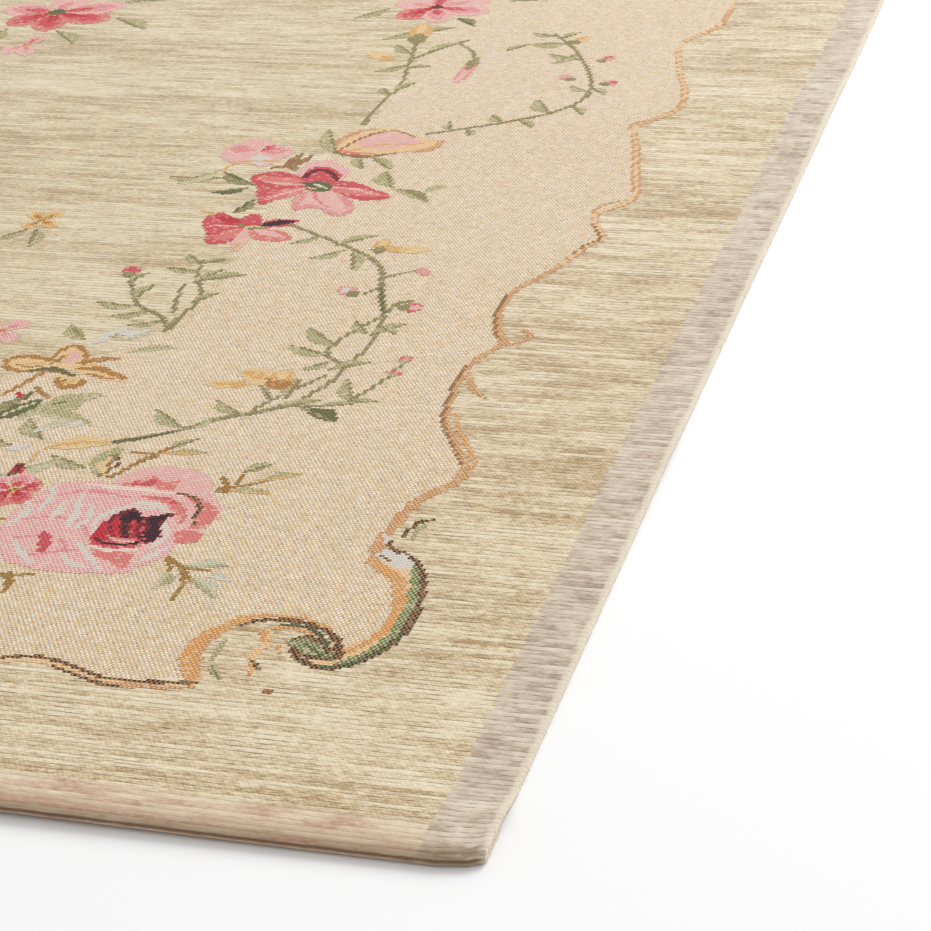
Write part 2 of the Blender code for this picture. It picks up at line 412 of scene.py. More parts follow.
def vines(chart):
    """The trailing stems with their leaves, buds and berries."""
    chart.draw([
        ("vine", [(352, -396), (372, -408), (390, -420), (410, -434), (423, -450), (429, -468),
          (434, -484), (440, -500), (443, -520), (443, -540), (438, -556)], [2.4, 2.2, 2.6, 3.0, 2.4, 2.0]),
        ("vine", [(368, -644), (380, -637), (392, -628), (404, -615), (418, -606), (428, -597),
          (435, -582), (440, -564), (437, -554), (428, -545), (428, -530), (434, -514), (440, -502)],
         [3.4, 2.8, 3.2, 2.2, 2.4, 1.8, 2.0]),
        ("olive_dark", [(368, -644), (378, -639), (388, -631)], [2.6, 1.8]),
        ("olive_dark", [(429, -468), (434, -484), (440, -500)], [1.2, 1.8, 1.2]),
        ("vine", [(424, -598), (438, -597), (450, -592), (457, -578), (462, -562)], [2.4, 1.8, 1.4]),
        ("vine", [(462, -562), (464, -546)], [1.2]),
        ("vine", [(434, -566), (426, -580), (419, -594), (414, -606)], [2.0, 1.6]),
        ("vine", [(407, -576), (414, -586), (419, -594)], [1.6]),
    ])
    for base, tip, breadth in (
        ((392, -627), (374, -611), 6.5), ((411, -610), (396, -597), 7), ((424, -590), (424, -569), 6),
        ((433, -560), (450, -549), 6.5), ((429, -546), (407, -537), 7), ((429, -536), (410, -517), 7.5),
        ((441, -522), (453, -508), 8), ((438, -520), (429, -508), 7), ((454, -590), (445, -568), 6.5),
        ((452, -590), (464, -588), 4.5), ((424, -602), (440, -590), 7), ((441, -597), (456, -591), 6),
        ((392, -424), (408, -409), 7), ((398, -430), (384, -443), 7), ((403, -432), (411, -456), 6.5),
        ((380, -414), (370, -424), 5), ((441, -512), (452, -520), 6), ((431, -552), (421, -562), 5),
    ):
        leaf(chart, base, tip, breadth)
    leaf(chart, (436, -600), (454, -611), 11, ("olive_dark", "olive"))
    leaf(chart, (400, -616), (396, -626), 5, ("sage_pale", "sage"))
    for base, tip in (((463, -562), (464, -556)), ((464, -548), (464, -540))):
        bud(chart, base, tip, 7.0, ("berry", "berry_pale"), "sage")
    bud(chart, (421, -482), (411, -474), 9, ("berry_pale", "frost"))
    bud(chart, (446, -492), (456, -490), 10, ("berry", "rose_pale"))
    chart.draw([
        ("olive", [(440, -500), (443, -488), (450, -483)], [1.4, 3.0, 1.6]),
        ("vine", [(430, -470), (424, -480)], [1.4]),
    ])
    chart.blade((440, -446), (448, -456), 6, "berry_pale")
    chart.stroke([(428, -460), (440, -450)], [1.2], "vine")
    bud(chart, (420, -578), (396, -566), 15, ("ochre_pale", "ochre"), "ochre_dark")
    bud(chart, (418, -580), (414, -562), 10, ("ochre", "ochre_pale"), "ochre_dark")
    bud(chart, (402, -580), (384, -582), 8, ("ochre_pale", "ochre"), "ochre")
    bud(chart, (415, -430), (414, -413), 9, ("ochre", "ochre_pale"), "olive")
    bud(chart, (420, -426), (440, -424), 9, ("ochre_pale", "ochre_pale"), "ochre")
    # The inner vine, beside the plain middle
    chart.draw([
        ("olive", [(346, -532), (347, -514), (350, -498), (345, -484), (338, -470), (334, -452)],
         [2.6, 2.2, 1.6]),
        ("olive", [(346, -528), (336, -515), (324, -508), (316, -496), (309, -482), (304, -472)],
         [2.4, 2.0, 1.4]),
        ("vine", [(342, -512), (338, -496), (336, -482)], [1.8, 1.4]),
    ])
    for base, tip, breadth in (
        ((334, -456), (324, -445), 5.5), ((335, -456), (346, -448), 5), ((336, -466), (320, -463), 6),
        ((342, -476), (362, -466), 7.5), ((340, -478), (348, -462), 5.5), ((318, -500), (322, -482), 7),
        ((322, -508), (302, -506), 6.5), ((330, -512), (314, -520), 6.5), ((340, -522), (326, -528), 5.5),
        ((347, -500), (356, -488), 4.5), ((308, -482), (314, -470), 5),
    ):
        leaf(chart, base, tip, breadth)
    bud(chart, (305, -476), (303, -464), 9)
    # The far vine, towards the side's middle
    chart.stroke([(392, -272), (410, -262), (430, -250), (448, -236), (460, -218), (463, -198),
                  (458, -172), (448, -146), (434, -118), (418, -96)], [1.6, 2.6, 2.2, 1.6], "vine")
    for base, tip, breadth in (
        ((404, -266), (400, -254), 6), ((412, -262), (416, -272), 6), ((428, -251), (420, -240), 8),
        ((436, -246), (446, -256), 6), ((450, -234), (438, -212), 10), ((460, -222), (468, -234), 6),
        ((463, -196), (450, -186), 7), ((462, -188), (472, -200), 6), ((444, -140), (424, -132), 9),
        ((440, -130), (430, -148), 7), ((430, -112), (408, -116), 12), ((420, -100), (406, -96), 8),
        ((424, -104), (432, -92), 7), ((398, -128), (408, -116), 7),
    ):
        leaf(chart, base, tip, breadth)
    bud(chart, (456, -142), (462, -131), 8, ("berry_pale", "berry"))
    bud(chart, (448, -176), (440, -168), 8, ("berry_pale", "berry_pale"))
    bud(chart, (466, -182), (475, -176), 9, ("berry_pale", "berry"))
    bud(chart, (432, -112), (438, -98), 10, ("ochre_pale", "ochre"))
    # The stem between the buds and the side's flower
    chart.draw([
        ("vine", [(354, -262), (353, -228), (354, -196), (348, -160), (342, -128), (336, -100)],
         [2.4, 1.8, 2.2, 2.6]),
        ("vine", [(346, -150), (360, -126), (370, -112)], [1.8, 2.6]),
    ])
    for base, tip, breadth in (
        ((354, -206), (362, -188), 8), ((353, -214), (346, -200), 6), ((348, -164), (362, -160), 7),
        ((347, -160), (332, -172), 7), ((344, -140), (330, -124), 7), ((352, -136), (366, -118), 9),
        ((336, -96), (318, -116), 9), ((340, -100), (356, -90), 8),
    ):
        leaf(chart, base, tip, breadth)
    bud(chart, (384, -146), (384, -190), 8, ("rose_mid", "rose_light"))
    chart.stroke([(366, -118), (378, -132), (384, -148)], [2.0, 1.4], "vine")
    bud(chart, (334, -152), (318, -138), 11, ("ochre_pale", "peach"), "ochre")
    bud(chart, (340, -118), (335, -84), 14, ("ochre", "ochre_pale"), "olive")


def sprigs(chart):
    """The gold-brown sprigs round the corner's rose."""
    for path, breadths in (
        ([(379, -674), (384, -662), (390, -652), (398, -638)], [1.6, 2.8, 1.2]),
        ([(390, -652), (384, -652), (379, -652)], [3.0, 1.2]),
        ([(391, -655), (392, -648)], [2.4, 1.6]),
        ([(427, -678), (428, -672), (424, -666)], [2.6, 3.0, 1.4]),
        ([(430, -678), (432, -668), (433, -660)], [1.4, 1.8, 1.2]),
        ([(432, -674), (441, -668), (450, -662)], [1.6, 1.6]),
        ([(421, -727), (429, -733), (435, -739), (440, -752), (440, -761)], [2.4, 2.6, 1.2]),
        ([(426, -731), (431, -742), (431, -748)], [2.0, 1.4]),
        ([(436, -741), (444, -749)], [3.0, 1.6]),
        ([(434, -737), (445, -738)], [2.2, 1.4]),
        ([(362, -752), (370, -755), (379, -752)], [1.6, 2.4, 1.4]),
        ([(370, -754), (373, -760), (374, -766)], [3.6, 2.8]),
        ([(347, -713), (356, -712)], [1.8, 1.2]),
    ):
        chart.stroke(path, breadths, "stem_brown")
    for base, tip, breadth, yarns in (
        ((393, -651), (411, -648), 5.0, ("sage", "ochre")),
        ((394, -645), (402, -636), 5.0, ("sage", "olive")),
        ((373, -674), (373, -647), 12.0, ("sage", "olive")),
        ((377, -674), (372, -656), 6.0, ("ochre_pale", "line_brown")),
        ((365, -668), (347, -660), 8.0, ("sage", "olive")),
        ((432, -661), (441, -652), 7.5, ("sage", "olive")),
        ((440, -667), (456, -659), 6.5, ("sage", "ochre")),
        ((432, -676), (448, -677), 5.0, ("sage", "ochre")),
        ((436, -737), (452, -733), 6.0, ("mint", "sage")), ((441, -745), (455, -757), 7.0, ("mint", "sage")),
        ((431, -741), (430, -754), 5.5, ("sage", "sage_pale")),
        ((446, -742), (457, -744), 4.0, ("mint", "frost")),
        ((352, -662), (332, -680), 8.0, ("sage_pale", "sage")),
    ):
        leaf(chart, base, tip, breadth, yarns)
    chart.stroke([(376, -658), (378, -666)], [1.6, 1.0], "dark")
    chart.blade((368, -645), (341, -654), 12, "ochre_pale", bend=-0.1)
    chart.draw([
        ("ochre", [(366, -645), (352, -648), (342, -654)], [1.6, 3.2, 1.6]),
        ("ochre", [(341, -654), (340, -664), (338, -672)], [1.8, 1.2]),
    ])
    bud(chart, (338, -682), (337, -667), 6, ("crimson", "maroon"), "dark_green")
    for base, tip, breadth, yarns in (
        ((336, -646), (322, -628), 9, ("sage", "olive")),
        ((330, -640), (348, -624), 8, ("sage_pale", "frost")),
        ((326, -654), (306, -646), 9, ("sage", "olive")),
        ((318, -630), (330, -608), 10, ("sage", "sage_pale")),
        ((308, -636), (312, -602), 8, ("olive", "olive_dark")),
        ((322, -622), (352, -630), 8, ("sage", "sage_pale")),
        ((300, -652), (280, -664), 11, ("sage", "olive")),
        ((330, -610), (346, -600), 8, ("sage", "sage_pale")),
        ((302, -660), (310, -682), 10, ("sage", "olive_dark")),
        ((288, -620), (270, -604), 10, ("sage", "olive")),
        ((338, -556), (358, -548), 6, ("sage", "sage_pale")),
        ((312, -546), (300, -532), 10, ("sage", "olive")),
        ((330, -544), (340, -532), 9, ("frost", "sage_pale")),
        ((320, -548), (330, -530), 8, ("frost", "sage")),
    ):
        leaf(chart, base, tip, breadth, yarns)


def star_flowers(chart):
    """The two red flowers where the vines meet, with their pointed petals."""
    chart.fill([(316, -407), (315, -396), (321, -390), (331, -399), (338, -408), (339, -425), (331, -431),
                (325, -427), (322, -416)], "rose_deep")
    chart.blade((341, -407), (318, -394), 9, "crimson")
    chart.blade((341, -407), (329, -427), 11, "rose_salmon")
    chart.draw([
        ("rose_pale", [(336, -406), (326, -407), (320, -408)], [1.4, 1.8, 1.0]),
        ("rose_deep", [(334, -402), (335, -391), (341, -391), (345, -403)]),
        ("rose_salmon", [(341, -408), (350, -408), (361, -411), (367, -420), (356, -424), (346, -419)]),
    ])
    chart.blade((343, -409), (364, -418), 6, "rose_pale")
    chart.blade((343, -404), (364, -395), 11, "rose_deep")
    chart.blade((345, -404), (362, -396), 7, "plum")
    chart.blade((340, -408), (345, -440), 8, "rose_light")
    chart.draw([
        ("ochre", [(343, -428), (345, -440)], [2.8, 1.2]),
        ("ochre", [(318, -393), (309, -389)], [2.6, 1.2]),
        ("olive", [(335, -404), (342, -408), (349, -406)], [2.4, 4.6, 2.4]),
        ("ochre_pale", [(339, -408), (345, -405)], [2.0, 1.4]),
    ])
    # The larger one
    chart.draw([
        ("rose_pale", [(346, -340), (340, -329), (342, -318), (350, -313), (360, -319), (368, -330),
          (364, -343)]),
        ("rose_deep", [(348, -343), (344, -333), (348, -323), (358, -325), (366, -336), (362, -344)]),
        ("maroon", [(349, -346), (346, -336), (351, -327), (360, -332), (365, -341)], [2.6, 3.8, 2.6]),
        ("rose_deep", [(318, -343), (321, -336), (332, -332), (345, -338), (355, -347), (352, -357),
          (343, -366), (337, -378), (330, -366), (325, -352)]),
    ])
    chart.blade((354, -348), (321, -341), 12, "rose_salmon")
    chart.blade((353, -351), (335, -372), 12, "rose_salmon")
    chart.draw([
        ("rose_light", [(352, -349), (338, -348), (326, -346)], [1.6, 3.2, 1.2]),
        ("rose_pale", [(352, -353), (344, -360), (337, -369)], [1.6, 2.8, 1.2]),
        ("rose_mid", [(354, -356), (351, -370), (356, -382), (366, -378), (380, -388), (386, -378),
          (379, -364), (368, -353)]),
        ("rose_light", [(357, -357), (356, -374), (364, -374), (379, -383), (381, -376), (374, -364),
          (366, -355)]),
        ("rose_salmon", [(358, -356), (362, -366), (372, -377)], [1.4, 2.2, 1.0]),
        ("rose_deep", [(362, -346), (369, -340), (381, -345), (399, -359), (386, -365), (372, -358)]),
    ])
    chart.blade((363, -350), (396, -358), 9, "rose_salmon")
    chart.draw([
        ("rose_pale", [(365, -349), (378, -351), (390, -356)], [1.4, 2.0, 1.0]),
        ("olive_dark", [(350, -346), (357, -342), (366, -350), (361, -357), (353, -354)]),
        ("dark_green", [(348, -345), (354, -349), (356, -356)], [2.0, 2.6, 1.6]),
        ("frost", [(356, -347), (362, -351)], [3.0, 2.0]),
        ("ochre_pale", [(352, -351), (358, -354)], [1.8, 1.4]),
    ])


def lily(chart):
    """The ochre flower with looped petals, drawn mostly by its outlines."""
    for outline in (
        [(286, -576), (288, -568), (296, -566), (306, -569), (308, -577), (299, -583), (291, -581)],
        [(307, -574), (306, -560), (310, -553), (317, -558), (324, -570), (319, -578)],
        [(319, -568), (327, -563), (337, -562), (328, -570), (346, -582), (341, -586), (330, -582),
         (320, -578)],
        [(315, -583), (318, -592), (324, -596), (330, -594), (329, -586), (322, -582)],
    ):
        chart.fill(outline, "ochre_pale")
    chart.fill([(310, -566), (313, -558), (318, -564), (315, -572)], "rose_light")
    for path, breadths in (
        ([(306, -579), (297, -582), (289, -579), (287, -571), (294, -567), (306, -569)],
         [2.0, 2.8, 3.0, 3.2, 3.6]),
        ([(308, -573), (306, -561), (311, -553), (319, -560), (323, -571)], [2.2, 2.6, 2.4, 2.8]),
        ([(320, -570), (327, -565), (336, -563)], [3.0, 4.2, 2.0]),
        ([(322, -576), (333, -575), (346, -582)], [3.0, 4.6, 3.0]),
        ([(329, -580), (338, -583), (343, -584)], [1.4, 1.8, 1.4]),
        ([(317, -587), (321, -594), (328, -593), (329, -587)], [2.2, 4.8, 3.2]),
        ([(307, -583), (304, -594), (300, -606), (296, -614)], [3.0, 2.6, 1.4]),
    ):
        chart.stroke(path, breadths, "ochre_dark")
    for path, breadths in (
        ([(296, -574), (304, -573)], [2.0, 1.4]), ([(311, -572), (312, -562)], [1.8, 1.2]),
        ([(326, -572), (333, -571)], [1.8, 1.4]), ([(322, -590), (325, -588)], [2.4, 2.0]),
    ):
        chart.stroke(path, breadths, "ochre")
    for path in (
        [(290, -575), (297, -577), (305, -576)], [(310, -570), (309, -561)], [(316, -570), (316, -560)],
        [(324, -569), (331, -566)], [(325, -574), (336, -577)], [(321, -588), (322, -592)],
    ):
        chart.stroke(path, [0.9, 1.8, 0.9], "line_brown")
    chart.draw([
        ("olive_dark", [(302, -581), (311, -578), (323, -583)], [2.6, 5.0, 2.4]),
        ("line_brown", [(306, -580), (316, -580)], [1.6, 1.8]),
        ("stem_brown", [(311, -596), (316, -602), (321, -606)], [1.8, 2.8, 1.4]),
        ("olive_dark", [(306, -630), (309, -620), (314, -612), (320, -609), (319, -620), (313, -629)]),
        ("sage_pale", [(309, -627), (314, -618), (318, -612)], [1.4, 2.2, 1.2]),
        ("crimson", [(306, -604), (309, -608)], [3.0, 2.0]),
        ("frost", [(300, -616), (306, -610)], [3.4, 2.4]),
        ("sage", [(323, -616), (325, -605), (332, -601), (339, -607), (338, -616), (331, -621)]),
        ("olive_dark", [(326, -613), (331, -609)], [2.2, 1.4]),
    ])
    for base, tip in (((317, -549), (324, -541)), ((326, -538), (334, -534)), ((343, -634), (346, -626)),
                      ((326, -658), (333, -652))):
        chart.blade(base, tip, 6, "frost")


def flowers(chart):
    """Every flower of the quarter, from the corner's rose to the middle bouquet."""
    chart.draw(CABBAGE_ROSE, (403, -711))
    blossom(chart, (343, -690), [((330, -684), 13, *PINK), ((338, -704), 13, *RED), ((352, -700), 12, *RED),
                                 ((354, -684), 12, *RED), ((342, -676), 13, *PINK)], "dark", 4)
    lily(chart)
    star_flowers(chart)
    for base, tip, breadth, yarns in (
        ((330, -372), (326, -390), 8, ("olive", "olive_dark")),
        ((324, -352), (302, -336), 9, ("olive", "olive_dark")),
        ((322, -356), (304, -364), 8, ("olive_dark", "olive")),
        ((304, -344), (274, -346), 7, ("sage", "line_brown")),
        ((396, -346), (386, -324), 12, ("sage", "olive")), ((398, -348), (420, -364), 9, ("olive", "sage")),
        ((372, -322), (366, -306), 7, ("sage", "olive")),
        ((338, -330), (334, -306), 9, ("line_brown", "olive")),
        ((298, -334), (282, -356), 8, ("sage_pale", "sage")),
        ((414, -352), (424, -340), 6, ("sage", "sage_pale")),
    ):
        leaf(chart, base, tip, breadth, yarns)
    chart.fill([(290, -313), (293, -298), (303, -289), (318, -296), (329, -304), (326, -315), (320, -327),
                (310, -323), (299, -322)], "rose_light")
    for base, tip, breadth, yarn in (
        ((308, -306), (292, -303), 10, "rose_mid"), ((309, -304), (303, -290), 11, "rose_pale"),
        ((311, -306), (325, -303), 10, "rose_mid"), ((310, -309), (318, -324), 12, "frost"),
        ((307, -309), (298, -320), 9, "rose_pale"), ((310, -306), (316, -297), 6, "rose_deep"),
    ):
        chart.blade(base, tip, breadth, yarn, fullest=1.3)
    chart.draw([
        ("ochre", [(322, -318), (304, -322), (300, -336)], [2.0, 2.6, 1.2]),
        ("line_brown", [(325, -327), (332, -324), (338, -316), (341, -307)], [2.4, 5.5, 1.6]),
    ])
    # The large brown and peach bud
    chart.draw([
        ("peach", [(347, -298), (349, -284), (355, -272), (368, -266), (386, -275), (403, -282),
          (400, -294), (385, -298), (370, -306), (356, -303)]),
        ("rose_light", [(359, -280), (370, -272), (388, -278), (392, -287), (374, -295), (361, -291)]),
    ])
    for path, breadths, yarn in (
        ([(347, -299), (349, -285), (356, -272), (364, -268)], [3.2, 4.4, 1.6], "amber"),
        ([(349, -300), (358, -305), (370, -306), (384, -299)], [2.2, 3.8, 1.8], "line_brown"),
        ([(350, -298), (360, -302), (372, -302)], [1.6, 2.4, 1.2], "rose_salmon"),
        ([(392, -297), (401, -291), (403, -280)], [1.8, 4.6, 1.8], "amber"),
        ([(353, -298), (358, -284), (368, -270)], [1.6, 1.8, 1.0], "line_brown"),
        ([(358, -300), (372, -290), (394, -286)], [1.4, 1.8, 1.2], "ochre"),
        ([(362, -276), (374, -270), (388, -277)], [1.4, 1.6, 1.2], "line_brown"),
    ):
        chart.stroke(path, breadths, yarn)
    leaf(chart, (352, -304), (338, -272), 7, ("sage", "olive"))
    leaf(chart, (372, -306), (388, -322), 7, ("sage", "olive"))
    # The side's middle flower
    blossom(chart, (333, -52), [((304, -44), 20, *LIGHT), ((316, -78), 22, *RED), ((342, -82), 18, *PINK),
                                ((368, -60), 22, *PINK), ((364, -30), 22, *LIGHT), ((332, -22), 22, *PINK)],
            "maroon", 9)
    leaf(chart, (352, -72), (366, -86), 9, ("olive", "olive_dark"))
    leaf(chart, (304, -58), (288, -78), 10, ("sage", "olive"))
    leaf(chart, (376, -36), (402, -30), 9, ("sage", "olive"))
    # Small scattered flowers over the plain middle
    blossom(chart, (270, -542), [((256, -534), 11, *LIGHT), ((262, -556), 11, *PINK),
                                 ((280, -554), 10, *LIGHT), ((278, -530), 11, *LIGHT)], "rose_deep", 4)
    blossom(chart, (232, -412), [((222, -402), 9, *GOLD), ((226, -424), 9, *GOLD), ((242, -420), 9, *GOLD),
                                 ((238, -398), 9, *GOLD)], "ochre_dark", 4)
    leaf(chart, (234, -424), (240, -446), 7, ("sage", "olive"))
    leaf(chart, (230, -424), (218, -440), 6, ("sage", "olive"))
    # The middle bouquet, which the mirroring completes
    blossom(chart, (96, -84), [((58, -78), 26, *PINK), ((74, -112), 24, *RED), ((104, -122), 22, *RED),
                               ((136, -98), 26, *RED), ((136, -66), 24, *PINK), ((98, -48), 26, *LIGHT)],
            "olive_dark", 12)
    blossom(chart, (104, -146), [((94, -166), 12, *LIGHT), ((112, -168), 12, *LIGHT),
                                 ((106, -130), 11, *PINK)], "rose_deep", 4)
    for ring, breadth, (rim, body, _) in ((46, 34, LIGHT), (34, 26, PINK), (22, 18, RED)):
        for k in range(3):
            angle = math.radians(10 - 42 * k - ring)
            tip = (ring * math.cos(angle), ring * math.sin(angle))
            chart.blade((0, 0), tip, breadth, rim, fullest=1.4, bluntness=0.6)
            inner = (0.85 * tip[0], 0.85 * tip[1])
            chart.blade((0, 0), inner, breadth * 0.7, body, fullest=1.4, bluntness=0.7)
    chart.draw([
        ("plum", [(-12, 12), (12, 12), (13, -8), (4, -14), (-6, -12)]),
        ("crimson", [(-2, 4), (6, 2), (5, -8), (-3, -8)]),
    ])
    for base, tip, breadth in (
        ((60, -100), (44, -124), 13), ((78, -120), (72, -146), 12), ((132, -60), (164, -50), 13),
        ((140, -92), (166, -112), 12), ((40, -52), (34, -84), 13), ((152, -20), (178, -30), 11),
        ((60, -30), (92, -26), 12), ((20, -60), (12, -92), 11), ((112, -120), (132, -142), 10),
    ):
        leaf(chart, base, tip, breadth)


def end_bouquet(chart):
    """What the photograph doesn't show at the end's middle, laid out like the corner."""
    chart.draw(CABBAGE_ROSE, (34, -716), 0.86, flip=-1)
    blossom(chart, (128, -706), [((104, -700), 18, *LIGHT), ((116, -728), 18, *RED), ((140, -730), 16, *PINK),
                                 ((154, -708), 18, *RED), ((134, -682), 18, *PINK)], "olive_dark", 7)
    chart.draw([
        ("vine", [(150, -700), (180, -690), (210, -694), (240, -684), (268, -664), (290, -650)],
         [2.4, 2.0, 2.8]),
        ("vine", [(196, -692), (214, -712), (238, -720), (262, -712)], [2.0, 1.4]),
    ])
    for base, tip, breadth in (
        ((170, -693), (164, -676), 7), ((186, -690), (196, -706), 7), ((210, -694), (218, -678), 8),
        ((228, -689), (244, -702), 7), ((252, -676), (248, -658), 7), ((264, -668), (282, -678), 7),
        ((218, -714), (214, -730), 7), ((238, -720), (250, -734), 7), ((246, -718), (252, -704), 6),
        ((96, -720), (86, -744), 10), ((112, -684), (100, -664), 9), ((60, -672), (74, -654), 10),
        ((20, -674), (10, -654), 9), ((84, -690), (92, -670), 9), ((150, -724), (170, -738), 9),
    ):
        leaf(chart, base, tip, breadth)
    bud(chart, (262, -712), (276, -706), 9)
    bud(chart, (172, -740), (186, -750), 8, ("berry_pale", "berry"))


def figure_chart():
    chart = Chart()
    scroll(chart)
    vines(chart)
    sprigs(chart)
    flowers(chart)
    end_bouquet(chart)
    return chart


# The surface that everything lies on


class Lay:
    """How the solid lies: its top and underside heights and its edges, read from its own mesh."""

    STEP_X = 0.010
    STEP_Y = 0.004
    MARGIN = 0.006
    HEM_ROW = 2  # the row of places that lies over the hem

    def __init__(self):
        solid = bpy.data.objects[NODE]
        graph = bpy.context.evaluated_depsgraph_get()
        self.tree = BVHTree.FromObject(solid, graph)
        self.x = np.arange(-HALF_WIDTH, HALF_WIDTH + self.STEP_X / 2, self.STEP_X)
        self.y = np.arange(-HALF_LENGTH, HALF_LENGTH + self.STEP_Y / 2, self.STEP_Y)
        xs = np.clip(self.x, -HALF_WIDTH + self.MARGIN, HALF_WIDTH - self.MARGIN)
        ys = np.clip(self.y, -HALF_LENGTH + self.MARGIN, HALF_LENGTH - self.MARGIN)
        self.top = np.array([[self.hit((x, y, 1), (0, 0, -1))[2] for x in xs] for y in ys])
        self.under = np.array([[self.hit((x, y, -1), (0, 0, 1))[2] for x in xs] for y in ys])
        ends = [
            [self.hit((x, side, z + FOLD_REACH), (0, -side, 0))[1] for x, z in zip(xs, self.under[row])]
            for side, row in ((-1, self.HEM_ROW), (1, -1 - self.HEM_ROW))
        ]
        sides = [
            [self.hit((side, y, z + THICKNESS / 2), (-side, 0, 0))[0]
             for y, z in zip(ys, self.under[:, column])]
            for side, column in ((-1, 0), (1, -1))
        ]
        self.ends = np.abs(np.array(ends))
        self.sides = np.abs(np.array(sides))

    def hit(self, start, way):
        return self.tree.ray_cast(Vector(start), Vector(way))[0]

    def look_up(self, table, x, y):
        u = np.clip((np.asarray(x) + HALF_WIDTH) / self.STEP_X, 0, len(self.x) - 1.001)
        v = np.clip((np.asarray(y) + HALF_LENGTH) / self.STEP_Y, 0, len(self.y) - 1.001)
        i, j = u.astype(int), v.astype(int)
        fu, fv = u - i, v - j
        low = table[j, i] * (1 - fu) + table[j, i + 1] * fu
        high = table[j + 1, i] * (1 - fu) + table[j + 1, i + 1] * fu
        return low * (1 - fv) + high * fv

    def top_at(self, x, y):
        return self.look_up(self.top, x, y)

    def lift_at(self, x, y):
        """How far the cloth stands off the floor. The fold stands as high as the cloth beside it."""
        y = np.clip(y, -FOLD_CENTER, FOLD_CENTER)
        step = smooth_step((np.abs(y) - STEP_FOOT) / (STEP_TOP - STEP_FOOT))
        return np.maximum(self.top_at(x, y) - (THICKNESS + (THICKNESS + LAYER_GAP) * step), 0)

    def edge_pull(self, x, y):
        """How far the end and side edges stand back from the straight box at a place."""
        left, right = (np.interp(y, self.y, side) for side in self.sides)
        front, back = (np.interp(x, self.x, end) for end in self.ends)
        side = np.where(np.asarray(x) > 0, right, left)
        end = np.where(np.asarray(y) > 0, back, front)
        return HALF_WIDTH - side, HALF_LENGTH - end


# The cloth's own mesh


def smooth_step(value):
    value = np.clip(value, 0.0, 1.0)
    return value * value * (3 - 2 * value)


# Where the hem's raw edge, the step beside it and the fold lie, from the rug's middle
HEM_RAW = HALF_LENGTH - HEM_DEPTH
STEP_TOP = HEM_RAW - THICKNESS - LAYER_GAP
STEP_DOWN = 0.016
STEP_FOOT = STEP_TOP - STEP_DOWN
FOLD_END = FOLD_CENTER + math.pi * FOLD_REACH
CLOTH_END = FOLD_END + FOLD_CENTER - HEM_RAW

# How the uneven edges and soft corners fade into the straight-edged sheet
EDGE_BLEND = 0.12
CORNER_CUT = 0.0034
CORNER_REACH = 0.0090
CORNER_LENGTH = 0.03

# The grooves between ribs round the hem, by arc length from the rug's middle
GROOVE = 0.00010
FOLD_GROOVE = 0.00075
FOLD_HALF = 0.0020
FOLD_FULL = 1.4
RIB_ROUNDNESS = 0.6
GROOVES_FROM = 0.870
GROOVES_TO = 0.909
GROOVES_RISE = 0.012
GROOVES_FADE = 0.003

# The mesh's density
GRID = 0.010
FINE_FROM = 0.8665
HIDDEN_ROWS = 6
RAW_EDGE_ROWS = (0.0012, 0.0005, 0.00012, 0.0)
EDGE_COLUMNS = (0.0, 0.00015, 0.0005, 0.0012, 0.0026, 0.005)
GROOVE_ROWS = 6


def section(s):
    """For arc lengths s: place along the rug, height and outward normal of the middle surface."""
    t = np.abs(s)
    turn = np.clip((t - FOLD_CENTER) / FOLD_REACH, 0, math.pi)
    radius = FOLD_REACH - THICKNESS / 2
    past = np.maximum(t - FOLD_END, 0)
    along = np.minimum(t, FOLD_CENTER) + radius * np.sin(turn) - past
    rise = (THICKNESS + LAYER_GAP) * smooth_step((t - STEP_FOOT) / (STEP_TOP - STEP_FOOT))
    height = THICKNESS / 2 + rise - radius * (1 - np.cos(turn))
    return np.sign(s) * along, height, np.sign(s) * np.sin(turn), np.cos(turn)


def in_plan(lay, x, y):
    """A place of the straight-edged sheet, moved to where the uneven edges put it."""
    side, end = lay.edge_pull(x, y)
    near_side = smooth_step((np.abs(x) - HALF_WIDTH + EDGE_BLEND) / EDGE_BLEND)
    near_end = smooth_step((np.abs(y) - HALF_LENGTH + EDGE_BLEND) / EDGE_BLEND)
    corner = smooth_step((np.abs(x) - HALF_WIDTH + CORNER_REACH) / CORNER_REACH)
    near_corner = smooth_step((np.abs(y) - HALF_LENGTH + CORNER_LENGTH) / CORNER_LENGTH)
    shift = end * near_end + CORNER_CUT * corner * near_corner
    return x - np.sign(x) * side * near_side, y - np.sign(y) * shift


def groove_rows(first, last):
    count = round((last - first) / RIB) * GROOVE_ROWS
    return list(np.arange(count + 1) * RIB / GROOVE_ROWS + first)


def cloth_rows():
    fine_from = RIB * round(FINE_FROM / RIB)
    inner = np.linspace(0, fine_from, round(fine_from / GRID) + 1)[:-1]
    fine_to = RIB * round(GROOVES_TO / RIB)
    hidden = np.linspace(fine_to, CLOTH_END, HIDDEN_ROWS)[1:-1]
    raw_edge = CLOTH_END - np.array(RAW_EDGE_ROWS)
    half = np.array([*inner, *groove_rows(fine_from, fine_to), *hidden, *raw_edge])
    return np.concatenate([-half[:0:-1], half])


def cloth_columns():
    inner = HALF_WIDTH - EDGE_COLUMNS[-1]
    even = np.linspace(-inner, inner, round(2 * inner / GRID) + 1)
    edge = HALF_WIDTH - np.array(EDGE_COLUMNS[:-1])
    return np.concatenate([-edge, even, edge[::-1]])


def fullness(distance):
    """The share of the cloth's half thickness at a distance from its edge."""
    part = np.clip(distance / (THICKNESS / 2), 0, 1)
    return np.sqrt(1 - (1 - part) ** 2)


